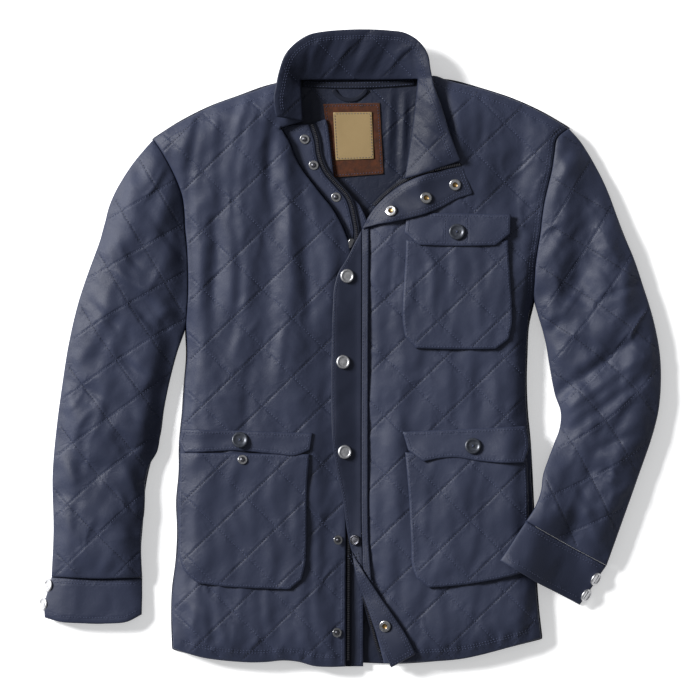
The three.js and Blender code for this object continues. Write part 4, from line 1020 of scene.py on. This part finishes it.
class JACKET_OT_cuffs(bpy.types.Operator):
    """Both plain cuffs, each a tube that lies flat"""
    bl_idname = "jacket.cuffs"
    bl_label = "Cuffs"

    def execute(self, context):
        cuffs = [
            ("right", [(110, 588, 112, 616, 6, -0.8), (76, 584, 74, 618, 6, 0.9)],
             [(3, (142, 578), (51, 577)), (7, (142, 578), (51, 577)), (8, (141.5, 615), (45, 618))],
             ["right_sleeve"]),
            ("left", [(536, 540, 524, 562, 6, 0.9), (566, 556, 554, 580, 6, -0.8)],
             [(3, (526, 521), (607, 566)), (7, (526, 521), (607, 566)), (8, (499.5, 560.5), (580, 605))],
             ["left_sleeve", "left_front"]),
        ]
        for side, creases, sewn, below in cuffs:
            top = Cloth(f"{side}_cuff_top", drop=1.6, creases=creases, sewn=sewn)
            under = Cloth(f"{side}_cuff_under", spacing=12, edge=2)
            lay(f"{side}_cuff", [top, under], FINISHES["shell"])
        return {"FINISHED"}


class JACKET_OT_pockets(bpy.types.Operator):
    """Three patch pockets, each with its flap"""
    bl_idname = "jacket.pockets"
    bl_label = "Pockets"

    def execute(self, context):
        pockets = [
            ("right_pocket", "right_front", (247, 498),
             [(196, 470, 192, 560, 7, 0.9), (290, 470, 286, 570, 7, -0.8)]),
            ("left_pocket", "left_front", (470, 520),
             [(424, 470, 426, 560, 7, 0.9), (508, 480, 506, 560, 7, -0.8), (456, 462, 452, 575, 22, 3.5)]),
            ("chest_pocket", "left_front", (438, 321),
             [(430, 250, 434, 330, 7, 1.2), (450, 252, 447, 320, 6, -1.2), (478, 256, 480, 335, 7, 1.1),
              (416, 256, 418, 320, 5, -1.0)]),
        ]
        for name, carrier, crossing, creases in pockets:
            bag = Cloth(name, FlatQuilt(crossing), drop=2.0, edge=3, uneven=0.8, waves=(34, 90), corner=30,
                        creases=creases, sewn=[(3.5, *ALL_ROUND)])
            lay(name, [bag], FINISHES["shell"])
            band = [(445, 217, 445, 243), (467, 217, 467, 243)] if name == "chest_pocket" else []
            flap = Cloth(f"{name}_flap", drop=1.6, edge=2.4, uneven=0.7, corner=30, sewn=[(4, *ALL_ROUND)],
                         across=band)
            lay(f"{name}_flap", [flap], FINISHES["shell"])
        return {"FINISHED"}


class JACKET_OT_storm_flap(bpy.types.Operator):
    """The flap along the zip, with its seam and both of its turned ends"""
    bl_idname = "jacket.storm_flap"
    bl_label = "Storm flap"

    def execute(self, context):
        both_rows = [(3, *ALL_ROUND), (7, *ALL_ROUND)]
        parts = [
            ("storm_flap", [(3, (351, 548), (333, 400)), (3, (333, 400), (356, 241))], [], ["right_front"]),
            ("storm_flap_seam", [(2, *ALL_ROUND)], [], ["left_front"]),
            ("storm_flap_end", both_rows, [], ["left_front", "storm_flap_seam"]),
            ("storm_flap_lapel", both_rows, [(374, 200, 458, 160, 16, 4.0)],
             ["left_front", "chest_pocket_flap"]),
        ]
        for name, sewn, creases, below in parts:
            layer = Cloth(name, spacing=4, blur=3, drop=1.2, edge=1.8, sewn=sewn, creases=creases)
            # The flap, its seam, its end and its lapel get the shell made darker as painted shade.
            lay(name, [layer], FINISHES["storm flap"])
        return {"FINISHED"}


class JACKET_OT_collar(bpy.types.Operator):
    """The turned-open collar and the stand below it"""
    bl_idname = "jacket.collar"
    bl_label = "Collar"

    def execute(self, context):
        folds = [(353, 36, 330, 76, 5, 2.2), (366, 34, 352, 60, 4, -1.8), (378, 36, 352, 76, 5, 2.4),
                 (392, 40, 372, 76, 4.5, -2.2), (404, 46, 388, 72, 4.5, 2.0), (336, 36, 322, 66, 4, -1.6),
                 (322, 36, 310, 60, 4, 1.4), (310, 50, 304, 76, 4, -1.4), (396, 56, 412, 46, 4, 1.8),
                 (412, 52, 418, 74, 4, -2.2), (300, 60, 322, 74, 4, 1.2), (284, 66, 296, 88, 5, 1.0),
                 (280, 96, 300, 108, 5, -1.0), (430, 78, 425, 174, 20, 6.0), (416, 92, 436, 108, 4, 1.2),
                 (420, 124, 444, 140, 4, -1.4), (414, 112, 428, 122, 4, -1.0), (436, 90, 446, 120, 4, -1.2)]
        edges = [((460, 161), (400, 34)), ((400, 34), (276, 116))]
        neck_seam = [(303, 121), (302, 100), (300.5, 80), (378, 79.5), (417.5, 79), (415.5, 100),
                     (410.5, 140)]
        collar = Cloth("collar", FlatQuilt((428, 150)), creases=folds, drop=1.8, sewn_down=neck_seam,
                       sewn=[(inset, *ends) for inset in (9, 12) for ends in edges])
        # The collar gets the shell made darker as painted shade.
        lay("collar", [collar], FINISHES["inner collar"])
        stand = Cloth("right_stand", spacing=3.5, blur=3, edge=1.8, sewn=[
            (3, (283, 126), (309, 124)), (7, (283, 126), (309, 124)), (4, (310, 126), (350, 246))])
        lay("right_stand", [stand], FINISHES["shell"])
        return {"FINISHED"}


class JACKET_OT_zip(bpy.types.Operator):
    """The open zip: its guard, its tapes, its teeth and its slider"""
    bl_idname = "jacket.zip"
    bl_label = "Zip"

    def execute(self, context):
        guard_edge = [(327, 112), (328, 126), (330, 142), (332.5, 164), (334, 177.5), (341.5, 187),
                      (352, 196), (360, 205), (366, 217), (369, 230)]
        guard = Cloth("zip_guard", spacing=4, blur=3, edge=1.6, drop=1.0, sewn=[(3, *ALL_ROUND)],
                      right_edge=guard_edge)
        lay("zip_guard", [guard], FINISHES["shell"])
        right_line = [(309, 124), (314, 138), (316, 153), (321, 168), (331, 182), (343, 194), (349, 206),
                      (352, 221), (354, 236), (351, 250), (348, 268), (346.5, 290), (346, 400), (346, 552),
                      (345.6, 660)]
        lapel_line = [(375, 207), (393, 190), (416, 177.5), (439, 171), (460, 166.4)]
        lower_line = [(384, 656), (379, 645), (371, 615), (366, 598)]
        tapes = [("zip_right", right_line, 3.4, "zip_guard"), ("zip_left_top", lapel_line, 2.6, "left_front"),
                 ("zip_left_bottom", lower_line, 2.6, "zip_guard")]
        for name, line, inset, below in tapes:
            tape = Cloth(name, spacing=2.5, blur=2, edge=0.8, drop=0.4, uneven=0.1)
            lay(name, [tape], FINISHES["tape"])
            zip_teeth(f"{name}_teeth", tape, beside(smooth_line(place(line), 2 * MM), inset * MM))
        zip_slider()
        return {"FINISHED"}


# A tooth's half length along the tape, half width, half height and lift, and how its top narrows
TOOTH = (0.7 * MM, 1.9 * MM, 0.85 * MM)
TOOTH_LIFT = 0.4 * MM
TOOTH_TAPER = 0.7
BLOCK = ((0, 3, 2, 1), (4, 5, 6, 7), (0, 1, 5, 4), (1, 2, 6, 5), (2, 3, 7, 6), (3, 0, 4, 7))


def zip_teeth(name, tape, line):
    """A row of small metal teeth along the line, on the tape."""
    spots = resampled(line, bpy.context.scene.jacket_trim.tooth_pitch)
    spots = spots[tape.top.covers(spots)]
    if len(spots) < 4:
        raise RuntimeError(f"{name} misses its tape")
    corner = np.array([(x, y, z) for z in (-1, 1) for x, y in ((-1, -1), (1, -1), (1, 1), (-1, 1))], float)
    corner[4:, :2] *= TOOTH_TAPER
    along, across, rise = (corner * TOOTH).T
    points = []
    for (x, y), (ux, uy), z in zip(spots, directions(spots), tape.height(spots)):
        points.append(np.column_stack([x + along * ux - across * uy, y + along * uy + across * ux,
                                       z + TOOTH_LIFT + rise]))
    faces = (np.arange(len(spots))[:, None, None] * len(corner) + np.array(BLOCK)).reshape(-1, 4)
    teeth = new_piece(name, np.concatenate(points), faces.tolist(), FINISHES["zip metal"])
    teeth.data.shade_flat()


def zip_slider():
    """The slider, rounded at its edges, with the ridge that a pull would hang from."""
    points, triangles = solid("zip_slider")
    piece = new_piece("zip_slider_metal", points, triangles.tolist(), FINISHES["snap metal"])
    rounded = piece.modifiers.new("rounded", "BEVEL")
    rounded.width, rounded.segments, rounded.angle_limit = 0.4 * MM, 2, math.radians(30)
    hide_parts("zip_slider")


# Profiles of the turned pieces, from the middle of the face outwards: share of the radius, height in mm
CAP = [(0, 1.9), (0.3, 1.95), (0.55, 1.8), (0.64, 1.7), (0.69, 2.3), (0.75, 2.75), (0.83, 2.9), (0.91, 2.6),
       (0.98, 1.7), (1, 0.9), (0.98, 0.25), (0.92, 0)]
STUD = [(0, 3.15), (0.2, 3.15), (0.3, 3.0), (0.36, 2.7), (0.32, 2.2), (0.33, 1.2), (0.42, 0.75), (0.6, 0.6),
        (0.8, 0.8), (0.9, 0.95), (0.97, 0.8), (1, 0.4), (0.97, 0.05), (0.9, 0)]
SOCKET = [(0, 0.5), (0.3, 0.55), (0.36, 0.9), (0.38, 1.7), (0.44, 2.1), (0.52, 2.2), (0.6, 1.95), (0.68, 2.0),
          (0.8, 2.15), (0.9, 1.9), (0.98, 1.3), (1, 0.7), (0.97, 0.1), (0.9, 0)]
BUTTON = [(0, 1.5), (0.4, 1.55), (0.58, 1.8), (0.66, 2.3), (0.74, 2.85), (0.84, 3.05), (0.93, 2.8),
          (0.99, 2.0), (1, 1.2), (0.97, 0.3), (0.9, 0)]
STUD_HEAD, SOCKET_HOLE = 0.62, 0.5
# This snap cap lies in shade where the flap turns over, so it gets the dark zip metal: painted shade.
SHADED_CAP = "snap_cap_4"


class JACKET_OT_fastenings(bpy.types.Operator):
    """Snaps, studs, sockets and flap buttons, each turned on the place of its solid"""
    bl_idname = "jacket.fastenings"
    bl_label = "Fastenings"

    def execute(self, context):
        for name in list(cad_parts):
            if "snap_cap" in name or "cuff_snap" in name:
                # The shaded cap gets dark metal as painted shade.
                turned_piece(name, CAP, FINISHES["zip metal" if name == SHADED_CAP else "cap metal"])
            elif "_stud" in name:
                turned_piece(name, STUD, FINISHES["snap metal"], FINISHES["zip metal"], STUD_HEAD)
            elif "socket" in name:
                turned_piece(name, SOCKET, FINISHES["snap metal"], FINISHES["brass"], SOCKET_HOLE)
            elif name.endswith("_button"):
                turned_piece(name, BUTTON, FINISHES["button"])
                button_thread(name)
        return {"FINISHED"}


class Turning:
    """The place of a round solid: the centre of its flat base, its axis, its radius and two ways across."""

    def __init__(self, node):
        points = solid_sides(node)[0]
        _, ways = np.linalg.eigh(np.cov((points - points.mean(0)).T))
        self.axis = ways[:, 0] if ways[2, 0] > 0 else -ways[:, 0]
        rise = points @ self.axis
        self.base = points[rise < rise.min() + 0.1 * MM].mean(0)
        offsets = points - self.base
        self.radius = np.linalg.norm(offsets - np.outer(offsets @ self.axis, self.axis), axis=1).max()
        side = np.cross(self.axis, [0, 1, 0])
        self.side = side / np.linalg.norm(side)
        self.up = np.cross(self.axis, self.side)

    def rings(self, profile, count):
        angles = np.linspace(0, math.tau, count, endpoint=False)
        ring = np.outer(np.cos(angles), self.side) + np.outer(np.sin(angles), self.up)
        return [self.base + self.axis * height * MM + ring * share * self.radius for share, height in profile]


def turned_piece(node, profile, finish, inner_finish=None, inner=0.0, count=40):
    """A turned piece in place of a solid. inner is the share of the radius with the inner finish."""
    turning = Turning(node)
    rings = turning.rings(profile, count)
    top = turning.base + turning.axis * profile[0][1] * MM
    points = np.concatenate([[top], *rings[1:], [turning.base]])
    ring = [(k, (k + 1) % count) for k in range(count)]
    faces = [(0, 1 + i, 1 + j) for i, j in ring]
    lows = [1 + r * count for r in range(len(rings) - 1)]
    faces += [(low + i, low + count + i, low + count + j, low + j) for low in lows[:-1] for i, j in ring]
    faces += [(lows[-1] + i, len(points) - 1, lows[-1] + j) for i, j in ring]
    piece = new_piece(f"{node}_turned", points, faces, finish, inner_finish or finish)
    looks = [int(share < inner) for share, _ in profile[1:]] + [0]
    piece.data.polygons.foreach_set("material_index", np.repeat(looks, count))
    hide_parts(node)


# A button's thread: its height in millimetres, how far its holes are from the middle, and its bulk
THREAD_RISE, HOLE_SHARE, THREAD_BULK = 1.9, 0.26, 1.2


def button_thread(node):
    """The thread that crosses between the four holes of a button."""
    turning = Turning(node)
    lift = turning.base + turning.axis * THREAD_RISE * MM
    corners = [lift + (turning.side * u + turning.up * v) * HOLE_SHARE * turning.radius
               for u, v in ((-1, -1), (1, 1), (-1, 1), (1, -1))]
    thread = sewing(f"{node}_thread", np.array([corners[:2], corners[2:]]), np.zeros(2, int))
    for vertex in thread.data.vertices:
        centre = Vector(lift)
        vertex.co = centre + (vertex.co - centre) * THREAD_BULK


class JACKET_OT_stage(bpy.types.Operator):
    """A pale floor, soft light from the upper left and the camera straight above"""
    bl_idname = "jacket.stage"
    bl_label = "Stage"

    def execute(self, context):
        stage = context.scene.jacket_stage
        finish, shader = new_finish("floor", roughness=0.9)
        shader.inputs["Base Color"].default_value = (0.93, 0.93, 0.93, 1)
        # The glow keeps the shadows as pale as on a lit sheet.
        shader.inputs["Emission Color"].default_value = (1, 1, 1, 1)
        shader.inputs["Emission Strength"].default_value = stage.floor_glow
        mesh = bpy.data.meshes.new("floor")
        reach, low = 6, -0.5 * MM
        corners = [(x * reach, y * reach, low) for x, y in ((-1, -1), (1, -1), (1, 1), (-1, 1))]
        mesh.from_pydata(corners, [], [(0, 1, 2, 3)])
        mesh.materials.append(finish)
        floor = bpy.data.objects.new("floor", mesh)
        context.scene.collection.objects.link(floor)
        lights = [("key_light", (-9.0, 4.4, 6.3), 3.1, stage.key_power),
                  ("fill_light", (0.3, 0.2, 3.0), 2.0, stage.fill_power)]
        for name, spot, size, power in lights:
            light = bpy.data.lights.new(name, "AREA")
            light.size, light.energy = size, power
            lamp = bpy.data.objects.new(name, light)
            lamp.location = spot
            lamp.rotation_euler = (-Vector(spot)).to_track_quat("-Z", "Y").to_euler()
            context.scene.collection.objects.link(lamp)
        world = bpy.data.worlds.new("pale room")
        world.use_nodes = True
        sky = world.node_tree.nodes["Background"]
        sky.inputs["Color"].default_value = (0.95, 0.97, 1, 1)
        sky.inputs["Strength"].default_value = stage.room
        context.scene.world = world
        context.scene.view_settings.view_transform = "Standard"
        camera = bpy.data.cameras.new("camera")
        height, middle_height, sensor = 12.0, 0.03, 36.0
        camera.sensor_width = sensor
        camera.lens = sensor * (height - middle_height) / (700 * PICTURE_UNIT)
        camera.clip_end = 100
        eye = bpy.data.objects.new("camera", camera)
        eye.location = (*place((350, 350))[0], height)
        context.scene.collection.objects.link(eye)
        context.scene.camera = eye
        return {"FINISHED"}


class JACKET_PT_pieces(bpy.types.Panel):
    """Sizes, colours and the pieces in the order in which they are laid"""
    bl_idname = "JACKET_PT_pieces"
    bl_label = "Quilted jacket"
    bl_space_type = "VIEW_3D"
    bl_region_type = "UI"
    bl_category = "Jacket"

    def draw(self, context):
        for group in SETTINGS:
            box = self.layout.box()
            values = getattr(context.scene, group)
            for name in SETTINGS[group].__annotations__:
                box.prop(values, name)
        for operator in OPERATORS:
            self.layout.operator(operator.bl_idname)


SETTINGS = {"jacket_cloth": JacketCloth, "jacket_trim": JacketTrim, "jacket_stage": JacketStage}
OPERATORS = (JACKET_OT_finishes, JACKET_OT_back, JACKET_OT_fronts, JACKET_OT_sleeves, JACKET_OT_cuffs,
             JACKET_OT_pockets, JACKET_OT_storm_flap, JACKET_OT_collar, JACKET_OT_zip, JACKET_OT_fastenings,
             JACKET_OT_stage)
CLASSES = (*SETTINGS.values(), *OPERATORS, JACKET_PT_pieces)


def register():
    for cls in CLASSES:
        bpy.utils.register_class(cls)
    for name, group in SETTINGS.items():
        setattr(bpy.types.Scene, name, PointerProperty(type=group))


def unregister():
    for name in SETTINGS:
        delattr(bpy.types.Scene, name)
    for cls in reversed(CLASSES):
        bpy.utils.unregister_class(cls)


def main():
    register()
    for operator in OPERATORS:
        getattr(bpy.ops.jacket, operator.bl_idname.split(".")[1])()


if __name__ == "__main__":
    main()
